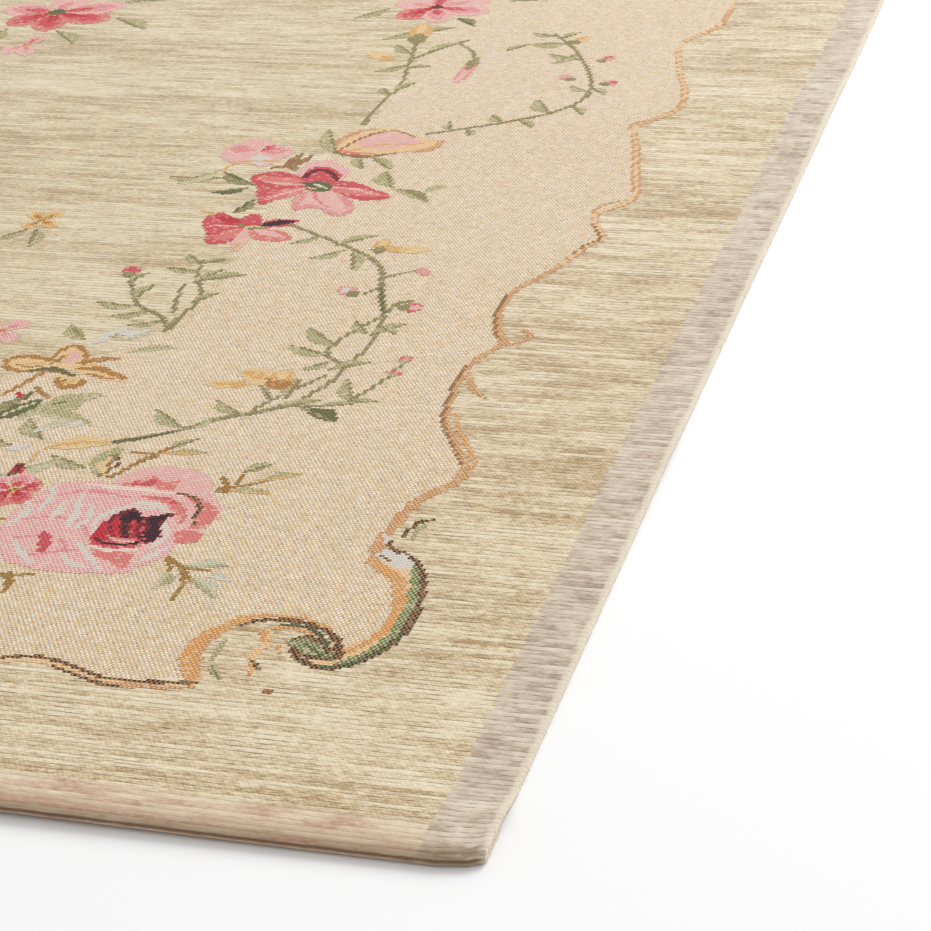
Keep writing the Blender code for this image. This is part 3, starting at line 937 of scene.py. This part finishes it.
def away_from(outline, x, y):
    """Signed distance in metres to a four-fold mirrored outline, positive inside it."""
    quarter = smooth(outline, steps=4) * MM
    px, py = np.abs(x) - DRAWN_SHIFT[0] * MM, -np.abs(y) - DRAWN_SHIFT[1] * MM
    nearest = np.full(x.shape, np.inf)
    inside = np.zeros(x.shape, bool)
    line = np.vstack([quarter, [(0.0, 0.0)], quarter[:1]])
    for k, ((ax, ay), (bx, by)) in enumerate(zip(line, line[1:])):
        if k < len(quarter) - 1:
            dx, dy = bx - ax, by - ay
            t = np.clip(((px - ax) * dx + (py - ay) * dy) / max(dx * dx + dy * dy, 1e-12), 0, 1)
            nearest = np.minimum(nearest, np.hypot(px - ax - t * dx, py - ay - t * dy))
        if ay != by:
            inside ^= ((ay > py) != (by > py)) & (px < (bx - ax) * (py - ay) / (by - ay) + ax)
    inside |= (px < 1e-6) & (py > quarter[-1][1])
    inside |= (py > -1e-6) & (px < quarter[0][0])
    return np.where(inside, nearest, -nearest)


def new_mesh(name, places, faces, materials):
    mesh = bpy.data.meshes.new(name)
    mesh.from_pydata(places.tolist(), [], faces.tolist())
    for material in materials:
        mesh.materials.append(material)
    mesh.shade_smooth()
    piece = bpy.data.objects.new(name, mesh)
    bpy.context.scene.collection.objects.link(piece)
    return piece


def corner_numbers(mesh):
    numbers = np.empty(len(mesh.loops), np.int32)
    mesh.loops.foreach_get("vertex_index", numbers)
    return numbers


def lay_uv(mesh, name, across, along):
    numbers = corner_numbers(mesh)
    places = np.column_stack([across[numbers], along[numbers]]).astype(np.float32)
    mesh.uv_layers.new(name=name).data.foreach_set("uv", places.ravel())


def set_floats(mesh, name, values):
    mesh.attributes.new(name, "FLOAT", "POINT").data.foreach_set("value", values.astype(np.float32))


def plan_uv(mesh, x, s):
    lay_uv(mesh, "weave", x, s)
    lay_uv(mesh, "OFBake", (x + HALF_WIDTH) / (2 * HALF_WIDTH), (s + CLOTH_END) / (2 * CLOTH_END))


def base_cloth(lay, face, back):
    rows, columns = cloth_rows(), cloth_columns()
    x, s = (table.ravel() for table in np.meshgrid(columns, rows))
    y, height, out_y, out_z = section(s)
    lift = lay.lift_at(x, y)
    full = fullness(HALF_WIDTH - np.abs(x)) * fullness(CLOTH_END - np.abs(s))
    round_rib = np.abs(np.sin(math.pi * s / RIB)) ** RIB_ROUNDNESS
    on_fold = smooth_step(FOLD_FULL - np.abs(np.abs(s) - MID_FOLD) / FOLD_HALF)
    depth = GROOVE + (FOLD_GROOVE - GROOVE) * on_fold
    depth = depth * smooth_step((np.abs(s) - GROOVES_FROM) / GROOVES_RISE)
    depth = depth * smooth_step((GROOVES_TO - np.abs(s)) / GROOVES_FADE)
    px, py = in_plan(lay, x, y)
    half = THICKNESS / 2 * full
    outer = half - depth * (1 - round_rib) * full
    top = np.column_stack([px, py + out_y * outer, height + lift + out_z * outer])
    under = np.column_stack([px, py - out_y * half, height + lift - out_z * half])
    grid = np.arange(len(x)).reshape(len(rows), len(columns))
    faces = np.stack([grid[:-1, :-1], grid[:-1, 1:], grid[1:, 1:], grid[1:, :-1]], -1).reshape(-1, 4)
    inner = grid[1:-1, 1:-1].ravel()
    numbers = np.arange(len(x))
    numbers[inner] = len(x) + np.arange(len(inner))
    places = np.vstack([top, under[inner]])
    both = np.vstack([faces, numbers[faces[:, ::-1]]])
    cloth = new_mesh("cloth", places, both, [face, back])
    slots = np.repeat([0, 1], len(faces)).astype(np.int32)
    cloth.data.polygons.foreach_set("material_index", slots)
    all_x, all_s = np.append(x, x[inner]), np.append(s, s[inner])
    plan_uv(cloth.data, all_x, all_s)
    inside = np.clip(all_s, -PATTERN_END, PATTERN_END)
    set_floats(cloth.data, "ground", away_from(GROUND_EDGE, all_x, inside))
    set_floats(cloth.data, "middle", away_from(FIELD_EDGE, all_x, inside))
    return cloth


FIGURE_RISE = 0.00014
LONGEST_RUN = 12


def figure_runs(chart):
    """Each run of one yarn pair along a pick: row, first column, last column and yarn."""
    runs = []
    for row, yarns in enumerate(chart.yarn):
        edges = np.flatnonzero(np.diff(yarns)) + 1
        for first, last in zip([0, *edges], [*edges, WARPS]):
            if yarns[first]:
                for start in range(first, last, LONGEST_RUN):
                    runs.append((row, start, min(start + LONGEST_RUN, last), yarns[first]))
    return np.array(runs)


def woven_figure(lay, chart, name, side_x, side_y, material):
    """One quarter of the figure, laid just above the cloth."""
    row, first, last, yarn = figure_runs(chart).T
    low, high = row * PICK, (row + 1) * PICK
    x = np.stack([first, last, last, first], -1) * WARP
    y = np.stack([high, high, low, low], -1)
    order = [0, 1, 2, 3] if side_x * side_y > 0 else [3, 2, 1, 0]
    x, y = (side_x * x)[:, order].ravel(), (side_y * y)[:, order].ravel()
    px, py = in_plan(lay, x, y)
    places = np.column_stack([px, py, lay.top_at(x, y) + FIGURE_RISE])
    faces = np.arange(len(x)).reshape(-1, 4)
    piece = new_mesh(name, places, faces, [material])
    plan_uv(piece.data, x, y)
    colors = np.array([[YARNS[n][k] for k in (0, 1)] for n in YARN_NAMES[1:]])[yarn - 1]
    for k, layer in enumerate(("yarn_a", "yarn_b")):
        values = piece.data.attributes.new(layer, "FLOAT_COLOR", "FACE").data
        values.foreach_set("color", colors[:, k].astype(np.float32).ravel())
    return piece


# The selvedge's loops, in metres or as shares of a loop's own size
LOOP_SPREAD = 0.0005
LOOP_REACH = (0.7, 1.0)
LOOP_SWELL = (0.86, 1.12)
LOOP_SET_IN = 0.0003
LOOP_HALF_HEIGHT = 0.44 * THICKNESS
LOOP_HALF_LENGTH = 0.52 * RIB
LOOP_TIP = 0.02
OFF_FLOOR = 0.00005
LOOP_SIDES = 6
LOOP_RINGS = (-1.0, -0.72, 0.0, 0.72, 1.0)


def selvedge_loops(lay, name, side, material, rng):
    """The small turns of weft at one side edge, one to a rib, as soft beads."""
    ribs = np.arange(-RIBS_TO_FOLD, RIBS_TO_FOLD) + 0.5
    s = ribs * RIB
    y, height, out_y, out_z = section(s)
    x = np.full(len(s), side * HALF_WIDTH)
    px, py = in_plan(lay, x, y)
    lift = lay.lift_at(x, y)
    swell = rng.uniform(*LOOP_SWELL, len(s))
    reach = rng.uniform(*LOOP_REACH, len(s)) * LOOP_SPREAD
    places, faces, across, along = [], [], [], []
    for k in range(len(s)):
        center = np.array((px[k] - side * LOOP_SET_IN, py[k], height[k] + lift[k]))
        start = len(places)
        for ring in LOOP_RINGS:
            breadth = math.sqrt(max(1 - ring * ring, LOOP_TIP)) * swell[k]
            for turn in range(LOOP_SIDES):
                angle = 2 * math.pi * turn / LOOP_SIDES
                out = reach[k] * math.cos(angle) * breadth
                up = LOOP_HALF_HEIGHT * math.sin(angle) * breadth
                lengthwise = ring * LOOP_HALF_LENGTH
                dy = lengthwise * out_z[k] + up * out_y[k]
                dz = up * out_z[k] - lengthwise * out_y[k]
                places.append(center + (side * out, dy, dz))
                across.append(x[k] + side * MM * angle)
                along.append(s[k] + lengthwise)
        for ring in range(len(LOOP_RINGS) - 1):
            for turn in range(LOOP_SIDES):
                first = start + ring * LOOP_SIDES
                a, b = first + turn, first + (turn + 1) % LOOP_SIDES
                quad = (a, b, b + LOOP_SIDES, a + LOOP_SIDES)
                faces.append(quad if side > 0 else quad[::-1])
    places = np.array(places)
    places[:, 2] = np.maximum(places[:, 2], OFF_FLOOR)
    loops = new_mesh(name, places, np.array(faces), [material])
    plan_uv(loops.data, np.array(across), np.array(along))
    return loops


# The yarns' materials

# Pile yarns from light to dark, then the rib-gap colour: brown binding, darkened with painted shade between
# the ribs
FACE_PILE = (tone(232, 217, 187), tone(209, 187, 149), tone(168, 136, 92), tone(98, 62, 36))
BACK_PILE = (tone(214, 200, 170), tone(192, 174, 140), tone(160, 138, 104), tone(104, 84, 60))
BLUSH = [(0.34, tone(188, 148, 124)), (0.48, tone(212, 188, 160)), (0.68, tone(230, 212, 184))]
TAUPE = [(0.30, tone(166, 145, 124)), (0.48, tone(203, 184, 161)), (0.68, tone(222, 207, 188))]
CREAM = [(0.32, tone(190, 174, 150)), (0.52, tone(222, 210, 190)), (0.70, tone(236, 228, 212))]
PALE_STITCHES = [
    (0.0, tone(230, 214, 192)),
    (0.45, tone(242, 231, 214)),
    (0.75, tone(226, 202, 170)),
    (0.92, tone(210, 198, 160)),
]
WARM_STITCHES = [
    (0.0, tone(212, 172, 108)),
    (0.40, tone(208, 176, 138)),
    (0.75, tone(194, 168, 120)),
    (0.92, tone(184, 144, 82)),
]
SPECKS = [
    (0.0, tone(190, 172, 140)),
    (0.55, tone(206, 168, 130)),
    (0.75, tone(150, 150, 118)),
    (0.88, tone(186, 120, 110)),
]
# Brown binding with painted shade, in the groove at the middle of each hem's bend
FOLD_BROWN_AND_SHADE = tone(92, 62, 40)
HEM_BROWN = (0.8890, 0.8985)
# Painted shade at the hem's rounded front near each corner: where it lies along the rug and how far in from
# the side
CORNER_SHADE_ALONG = (0.8925, 0.8985)
CORNER_SHADE_ACROSS = (0.012, 0.028)
SIDE_KEPT_PALE = (0.0008, 0.0035)
FLATTER_HEM = (0.8700, 0.8900)
END_EDGE = 0.0030
BAND_EDGE = 0.0007
CREAM_FADE = 0.0016
PILE_SHEEN = 0.62
BACK_SHEEN = 0.2
FIGURE_SHEEN = 0.12
SHEEN_ROUGHNESS = 0.40
YARN_SPECULAR = 0.18


class Graph:
    """A material's nodes, put together with short calls."""

    def __init__(self, name):
        self.material = bpy.data.materials.new(name)
        self.material.use_nodes = True
        self.tree = self.material.node_tree
        self.shader = self.tree.nodes["Principled BSDF"]
        self.shader.inputs["Metallic"].default_value = 0.0
        where = self.put("UVMap", uv_map="weave").outputs[0]
        parts = self.put("SeparateXYZ")
        self.feed(parts.inputs[0], where)
        self.x, self.s = parts.outputs[0], parts.outputs[1]
        self.rib = self.do("DIVIDE", self.s, RIB)
        self.rib_number = self.do("FLOOR", self.rib)
        self.warp = self.do("DIVIDE", self.x, WARP)
        self.pick_number = self.do("FLOOR", self.do("DIVIDE", self.s, PICK))

    def put(self, kind, **settings):
        node = self.tree.nodes.new("ShaderNode" + kind)
        for name, value in settings.items():
            setattr(node, name, value)
        return node

    def feed(self, socket, value):
        if isinstance(value, bpy.types.NodeSocket):
            self.tree.links.new(value, socket)
        else:
            socket.default_value = value

    def do(self, operation, *values, clamp=False):
        node = self.put("Math", operation=operation, use_clamp=clamp)
        for socket, value in zip(node.inputs, values):
            self.feed(socket, value)
        return node.outputs[0]

    def times(self, a, b):
        return self.do("MULTIPLY", a, b)

    def plus(self, a, b):
        return self.do("ADD", a, b)

    def minus(self, a, b):
        return self.do("SUBTRACT", a, b)

    def scaled(self, value, factor, added):
        return self.do("MULTIPLY_ADD", value, factor, added)

    def size_of(self, value):
        return self.do("ABSOLUTE", value)

    def mix(self, share, a, b):
        node = self.put("Mix", data_type="RGBA")
        for number, value in ((0, share), (6, a), (7, b)):
            self.feed(node.inputs[number], value)
        return node.outputs[2]

    def rise(self, value, low, high):
        """0 up to low, 1 from high and a soft step between them."""
        node = self.put("MapRange", interpolation_type="SMOOTHSTEP")
        for socket, part in zip(node.inputs, (value, low, high)):
            self.feed(socket, part)
        return node.outputs[0]

    def fall(self, value, low, high):
        """1 up to low, 0 from high and a soft step between them."""
        return self.minus(1.0, self.rise(value, low, high))

    def place(self, x, y, z=0.0):
        node = self.put("CombineXYZ")
        for socket, part in zip(node.inputs, (x, y, z)):
            self.feed(socket, part)
        return node.outputs[0]

    def noise(self, where, detail=2.0, roughness=0.55):
        node = self.put("TexNoise")
        self.feed(node.inputs["Vector"], where)
        self.feed(node.inputs["Scale"], 1.0)
        self.feed(node.inputs["Detail"], detail)
        self.feed(node.inputs["Roughness"], roughness)
        return node.outputs[0]

    def chance(self, where):
        node = self.put("TexWhiteNoise", noise_dimensions="3D")
        self.feed(node.inputs["Vector"], where)
        return node.outputs[0]

    def ramp(self, value, stops, kind="LINEAR"):
        node = self.put("ValToRGB")
        self.feed(node.inputs[0], value)
        node.color_ramp.interpolation = kind
        for number, (place, color) in enumerate(stops):
            elements = node.color_ramp.elements
            element = elements[number] if number < 2 else elements.new(place)
            element.position = place
            element.color = color
        return node.outputs[0]

    def stretched(self, across, along, shift=0.0):
        """A place for noise, its detail set per metre across and along the rug."""
        return self.place(self.times(self.x, across), self.times(self.s, along), shift)

    def rib_noise(self, across, step, shift, detail=2.0, roughness=0.55):
        """Noise that runs along each rib, and is different on the next one."""
        where = self.place(self.times(self.x, across), self.times(self.rib_number, step), shift)
        return self.noise(where, detail, roughness)

    def stagger(self):
        """Half a warp on every other pick."""
        return self.times(self.do("FLOORED_MODULO", self.pick_number, 2.0), 0.5)

    def from_side(self):
        return self.minus(HALF_WIDTH, self.size_of(self.x))

    def rib_round(self):
        """1 on the crest of a rib and 0 in the gap beside it."""
        return self.size_of(self.do("SINE", self.times(self.rib, math.pi)))

    def wave(self, value, shift=0.0):
        """Between 0 and 1, once for every whole step of the value."""
        turned = self.do("COSINE", self.times(self.plus(value, shift), 2 * math.pi))
        return self.scaled(turned, 0.5, 0.5)

    def finish(self, color, roughness, height, depth, sheen=PILE_SHEEN):
        self.feed(self.shader.inputs["Base Color"], color)
        self.feed(self.shader.inputs["Roughness"], roughness)
        self.feed(self.shader.inputs["Sheen Weight"], sheen)
        self.feed(self.shader.inputs["Sheen Roughness"], SHEEN_ROUGHNESS)
        self.feed(self.shader.inputs["Specular IOR Level"], YARN_SPECULAR)
        bump = self.put("Bump")
        self.feed(bump.inputs["Distance"], depth)
        self.feed(bump.inputs["Height"], height)
        self.feed(bump.inputs["Strength"], 1.0)
        self.feed(self.shader.inputs["Normal"], bump.outputs[0])
        return self.material


def attribute(graph, name, output):
    node = graph.put("Attribute", attribute_name=name)
    return node.outputs[output]


def chenille(graph, light, mid, dark, gap, seed=0.0):
    """Pile-wrapped weft: flecked streaks along each rib, and thin brown lines where a gap opens, the brown
    binding darkened with painted shade between the ribs.
    """
    streak = graph.rib_noise(24.0, 3.17, seed, 3.0, 0.62)
    fleck = graph.noise(graph.stretched(300.0, 1050.0, seed), 1.5)
    broad = graph.noise(graph.stretched(2.4, 24.0, seed + 4.0), 2.0)
    dots = graph.wave(graph.plus(graph.warp, graph.stagger()))
    tone_at = graph.plus(graph.times(streak, 0.74), graph.times(broad, 0.34))
    tone_at = graph.scaled(graph.minus(fleck, 0.53), 0.62, tone_at)
    tone_at = graph.scaled(graph.minus(dots, 0.5), 0.07, tone_at)
    pile = graph.ramp(tone_at, [(0.34, dark), (0.49, mid), (0.63, light)])
    in_gap = graph.fall(graph.rib_round(), 0.06, 0.50)
    opening = graph.rib_noise(75.0, 3.17, seed + 9.0)
    share = graph.times(graph.rise(opening, 0.43, 0.60), graph.scaled(dots, 0.50, 0.60))
    share = graph.do("MULTIPLY", in_gap, graph.scaled(dots, 0.08, share), clamp=True)
    return graph.mix(graph.times(share, 0.96), pile, gap), in_gap, dots, fleck


def tapestry(graph):
    """The figure's own ground: cream and ochre stitches in turn, with thin brown dashes between."""
    across = graph.plus(graph.warp, graph.stagger())
    number = graph.do("FLOOR", across)
    pale = graph.ramp(graph.chance(graph.place(number, graph.pick_number, 2.0)), PALE_STITCHES, "CONSTANT")
    warm = graph.ramp(graph.chance(graph.place(number, graph.pick_number, 7.0)), WARM_STITCHES, "CONSTANT")
    yarn = graph.mix(graph.rise(graph.wave(across), 0.30, 0.62), warm, pale)
    in_pick = graph.do("FRACT", graph.do("DIVIDE", graph.s, PICK))
    between = graph.rise(graph.size_of(graph.minus(in_pick, 0.5)), 0.24, 0.46)
    dash = graph.do("POWER", graph.chance(graph.place(number, graph.pick_number, 11.0)), 0.9)
    dash = graph.times(graph.times(between, dash), graph.rise(graph.wave(across, 0.35), 0.25, 0.80))
    return graph.mix(graph.times(dash, 0.98), yarn, tone(92, 60, 32)), between


def rug_face():
    graph = Graph("chenille_face")
    field, in_gap, dashes, fleck = chenille(graph, *FACE_PILE)
    tapestry_color, between = tapestry(graph)
    jitter = graph.minus(graph.chance(graph.place(graph.rib_number, 3.0, 1.0)), 0.5)
    from_side = graph.from_side()
    from_side_rough = graph.scaled(jitter, 0.0013, from_side)
    long_s = graph.size_of(graph.s)
    in_ground = graph.rise(graph.scaled(jitter, 0.0020, attribute(graph, "ground", "Fac")), -0.0004, 0.0004)
    in_middle = graph.rise(graph.scaled(jitter, 0.0060, attribute(graph, "middle", "Fac")), -0.0008, 0.0008)
    in_tapestry = graph.times(in_ground, graph.minus(1.0, in_middle))
    color = graph.mix(graph.times(in_middle, 0.13), field, tone(176, 158, 96))
    color = graph.mix(in_tapestry, color, tapestry_color)
    wander = graph.noise(graph.stretched(9.0, 3.0, 5.0), 1.0)
    end_place = graph.scaled(graph.minus(wander, 0.5), 0.006, long_s)
    band_from = HALF_LENGTH - END_BAND
    end_share = graph.rise(end_place, band_from - END_EDGE, band_from + END_EDGE)
    blush_streak = graph.rib_noise(34.0, 5.3, 3.0)
    blush = graph.ramp(graph.plus(blush_streak, graph.times(graph.minus(fleck, 0.5), 0.4)), BLUSH)
    # The blush band's rib gaps: brown binding, darkened with painted shade between the ribs
    blush = graph.mix(graph.times(in_gap, graph.times(blush_streak, 0.45)), blush, tone(132, 92, 66))
    color = graph.mix(end_share, color, blush)
    side_share = graph.fall(from_side_rough, SIDE_BAND - BAND_EDGE, SIDE_BAND + BAND_EDGE)
    taupe_streak = graph.rib_noise(60.0, 5.3, 8.0)
    taupe = graph.ramp(graph.plus(taupe_streak, graph.times(graph.minus(fleck, 0.5), 0.5)), TAUPE)
    # Brown dashes in the taupe band's rib gaps, darkened with painted shade between the ribs
    dash = graph.rib_noise(190.0, 5.3, 17.0)
    dash = graph.times(in_gap, graph.scaled(graph.rise(dash, 0.44, 0.62), 0.75, 0.08))
    taupe = graph.mix(dash, taupe, tone(92, 70, 58))
    color = graph.mix(side_share, color, taupe)
    cream_share = graph.fall(from_side_rough, SELVEDGE, SELVEDGE + CREAM_FADE)
    color = graph.mix(graph.times(cream_share, 0.8), color, tone(222, 210, 188))
    # The bend opens the gaps between ribs and shows their brown binding, darkened further with painted shade
    # in the groove
    from_bend = graph.size_of(graph.minus(long_s, MID_FOLD))
    ragged = graph.noise(graph.stretched(140.0, 900.0, 12.0), 2.0)
    from_bend = graph.scaled(graph.minus(ragged, 0.5), 0.0014, from_bend)
    fold_brown_and_shade = graph.times(graph.fall(from_bend, 0.0003, 0.0012), 0.85)
    fold_brown_and_shade = graph.times(fold_brown_and_shade, graph.rise(from_side, *SIDE_KEPT_PALE))
    color = graph.mix(fold_brown_and_shade, color, FOLD_BROWN_AND_SHADE)
    browned = graph.times(graph.rise(long_s, *HEM_BROWN), graph.rise(blush_streak, 0.24, 0.52))
    browned = graph.times(browned, graph.rise(from_side, *SIDE_KEPT_PALE))
    color = graph.mix(graph.times(browned, 0.48), color, tone(144, 110, 80))
    # Painted shade at the hem's rounded front near each corner, with a ragged edge
    near_corner = graph.times(graph.rise(long_s, *CORNER_SHADE_ALONG), graph.rise(ragged, 0.30, 0.62))
    near_corner = graph.times(near_corner, graph.fall(from_side, *CORNER_SHADE_ACROSS))
    color = graph.mix(graph.times(near_corner, 0.60), color, tone(128, 104, 76))
    fuzz = graph.noise(graph.stretched(1500.0, 1500.0, 1.0), 2.0)
    rib_height = graph.scaled(graph.rib_round(), 0.45, graph.times(dashes, -0.25))
    rib_height = graph.scaled(fleck, 0.9, rib_height)
    stitch_height = graph.scaled(between, -0.35, 0.8)
    higher = graph.times(in_tapestry, graph.minus(stitch_height, rib_height))
    total = graph.plus(graph.plus(rib_height, higher), graph.times(fuzz, 0.35))
    total = graph.times(total, graph.scaled(graph.rise(long_s, *FLATTER_HEM), -0.5, 1.0))
    roughness = graph.scaled(fleck, 0.16, 0.78)
    return graph.finish(color, roughness, total, 0.00030)


def rug_back():
    """The underside: the same threads in reverse, plainer and darker."""
    graph = Graph("chenille_back")
    color, in_gap, dashes, fleck = chenille(graph, *BACK_PILE, 21.0)
    half_warp = graph.do("FLOOR", graph.times(graph.warp, 2.0))
    speck = graph.ramp(graph.chance(graph.place(half_warp, graph.pick_number, 4.0)), SPECKS, "CONSTANT")
    figured = graph.rise(attribute(graph, "ground", "Fac"), -0.001, 0.001)
    color = graph.mix(graph.times(figured, 0.55), color, speck)
    from_side = graph.from_side()
    taupe_share = graph.fall(from_side, SIDE_BAND - 0.001, SIDE_BAND + 0.001)
    color = graph.mix(graph.times(taupe_share, 0.7), color, tone(178, 160, 140))
    cream_share = graph.fall(from_side, SELVEDGE, SELVEDGE + CREAM_FADE)
    color = graph.mix(graph.times(cream_share, 0.8), color, tone(214, 200, 176))
    height = graph.plus(graph.rib_round(), graph.times(dashes, 0.4))
    return graph.finish(color, graph.scaled(fleck, 0.14, 0.8), height, 0.00026, BACK_SHEEN)


def figure_yarn():
    """The figure's floats: two yarns that take turns across the cloth, bound at every pick."""
    graph = Graph("figure_yarns")
    across = graph.scaled(graph.pick_number, 0.04, graph.plus(graph.warp, graph.stagger()))
    turn = graph.wave(across)
    cell = graph.chance(graph.place(graph.do("FLOOR", across), graph.pick_number, 5.0))
    share = graph.rise(graph.scaled(graph.minus(cell, 0.5), 0.45, turn), 0.34, 0.66)
    color = graph.mix(share, attribute(graph, "yarn_a", "Color"), attribute(graph, "yarn_b", "Color"))
    flax = graph.chance(graph.place(graph.do("FLOOR", across), graph.pick_number, 11.0))
    flax = graph.rise(flax, 0.82, 0.88)
    flax = graph.times(flax, graph.rise(attribute(graph, "yarn_b", "Fac"), 0.10, 0.40))
    color = graph.mix(graph.times(flax, 0.45), color, tone(230, 212, 180))
    in_pick = graph.do("FRACT", graph.do("DIVIDE", graph.s, PICK))
    edge = graph.rise(graph.size_of(graph.minus(in_pick, 0.5)), 0.26, 0.48)
    # Painted shade in the gaps between picks, darker on some cells
    dark = graph.times(edge, graph.scaled(cell, 0.30, 0.06))
    color = graph.mix(dark, color, tone(92, 62, 44))
    fuzz = graph.noise(graph.stretched(1700.0, 1700.0, 3.0), 2.0)
    height = graph.plus(graph.times(fuzz, 0.4), graph.minus(turn, edge))
    return graph.finish(color, graph.scaled(fuzz, 0.2, 0.72), height, 0.00016, FIGURE_SHEEN)


def edge_yarn():
    """The cream weft turning round at the side edges."""
    graph = Graph("selvedge_yarn")
    fleck = graph.noise(graph.stretched(900.0, 500.0, 2.0), 2.0)
    streak = graph.noise(graph.place(graph.rib_number, 0.0, 4.0), 1.0)
    shade = graph.plus(graph.times(fleck, 0.5), graph.times(streak, 0.5))
    color = graph.ramp(shade, CREAM)
    return graph.finish(color, graph.scaled(fleck, 0.2, 0.75), fleck, 0.00025)


def floor_paint():
    graph = Graph("studio_floor")
    haze = graph.noise(graph.stretched(2.0, 2.0), 2.0)
    color = graph.mix(haze, tone(245, 245, 245), tone(248, 248, 248))
    graph.feed(graph.shader.inputs["Base Color"], color)
    graph.feed(graph.shader.inputs["Roughness"], 0.7)
    graph.feed(graph.shader.inputs["Specular IOR Level"], 0.1)
    return graph.material


# The photograph's camera and the studio

LENS = 103.22
SENSOR_WIDTH = 36.0
CAMERA_PLACE = Vector((0.8085, -1.5475, 0.4891))
CAMERA_TARGET = Vector((0.5194, -0.6362, 0.0024))
CAMERA_ROLL = math.radians(3.785)
FLOOR_REACH = 8.0
SKY_STRENGTH = 0.61

# Each light's name, place, target, size and power
LIGHTS = (
    ("key", (1.6, 1.6, 2.1), (0.5, 0.1, 0), 2.2, 77),
    ("fill", (2.6, -0.8, 1.3), (0.3, -0.6, 0), 2.0, 8),
)


def add_camera():
    data = bpy.data.cameras.new("photo_camera")
    data.lens = LENS
    data.sensor_width = SENSOR_WIDTH
    data.clip_start = 0.01
    camera = bpy.data.objects.new("photo_camera", data)
    bpy.context.scene.collection.objects.link(camera)
    ahead = (CAMERA_TARGET - CAMERA_PLACE).normalized()
    side = ahead.cross(Vector((0, 0, 1))).normalized()
    level_up = side.cross(ahead)
    up = level_up * math.cos(CAMERA_ROLL) + side * math.sin(CAMERA_ROLL)
    right = ahead.cross(up)
    turn = Matrix((right, up, -ahead)).transposed()
    camera.matrix_world = Matrix.Translation(CAMERA_PLACE) @ turn.to_4x4()
    bpy.context.scene.camera = camera


def add_light(name, place, target, size, power):
    data = bpy.data.lights.new(name, "AREA")
    data.size = size
    data.energy = power
    light = bpy.data.objects.new(name, data)
    bpy.context.scene.collection.objects.link(light)
    light.location = place
    light.rotation_euler = (Vector(target) - Vector(place)).to_track_quat("-Z", "Y").to_euler()


def add_studio():
    mesh = bpy.data.meshes.new("floor")
    corners = [(x * FLOOR_REACH, y * FLOOR_REACH) for x, y in ((-1, -1), (1, -1), (1, 1), (-1, 1))]
    mesh.from_pydata([(x, y, 0) for x, y in corners], [], [(0, 1, 2, 3)])
    layer = mesh.uv_layers.new(name="weave")
    layer.data.foreach_set("uv", [part for corner in corners for part in corner])
    mesh.materials.append(floor_paint())
    floor = bpy.data.objects.new("floor", mesh)
    bpy.context.scene.collection.objects.link(floor)
    world = bpy.data.worlds.new("studio")
    world.use_nodes = True
    sky = world.node_tree.nodes["Background"]
    sky.inputs[0].default_value = (1.0, 1.0, 1.0, 1.0)
    sky.inputs[1].default_value = SKY_STRENGTH
    bpy.context.scene.world = world
    for light in LIGHTS:
        add_light(*light)
    bpy.context.scene.view_settings.view_transform = "Standard"


LOOP_SEED = 11
QUARTERS = (("front_right", 1, -1), ("front_left", -1, -1), ("back_right", 1, 1), ("back_left", -1, 1))
SIDES = (("right", 1), ("left", -1))


def main():
    rng = np.random.default_rng(LOOP_SEED)
    lay = Lay()
    chart = figure_chart()
    cloth = base_cloth(lay, rug_face(), rug_back())
    figure = figure_yarn()
    quarters = [
        woven_figure(lay, chart, "figure_" + name, side_x, side_y, figure)
        for name, side_x, side_y in QUARTERS
    ]
    cream = edge_yarn()
    loops = [selvedge_loops(lay, "selvedge_" + name, side, cream, rng) for name, side in SIDES]
    pieces = [cloth, *quarters, *loops]
    for piece in pieces:
        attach(piece, "root")
        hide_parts(NODE)
    add_studio()
    add_camera()


main()
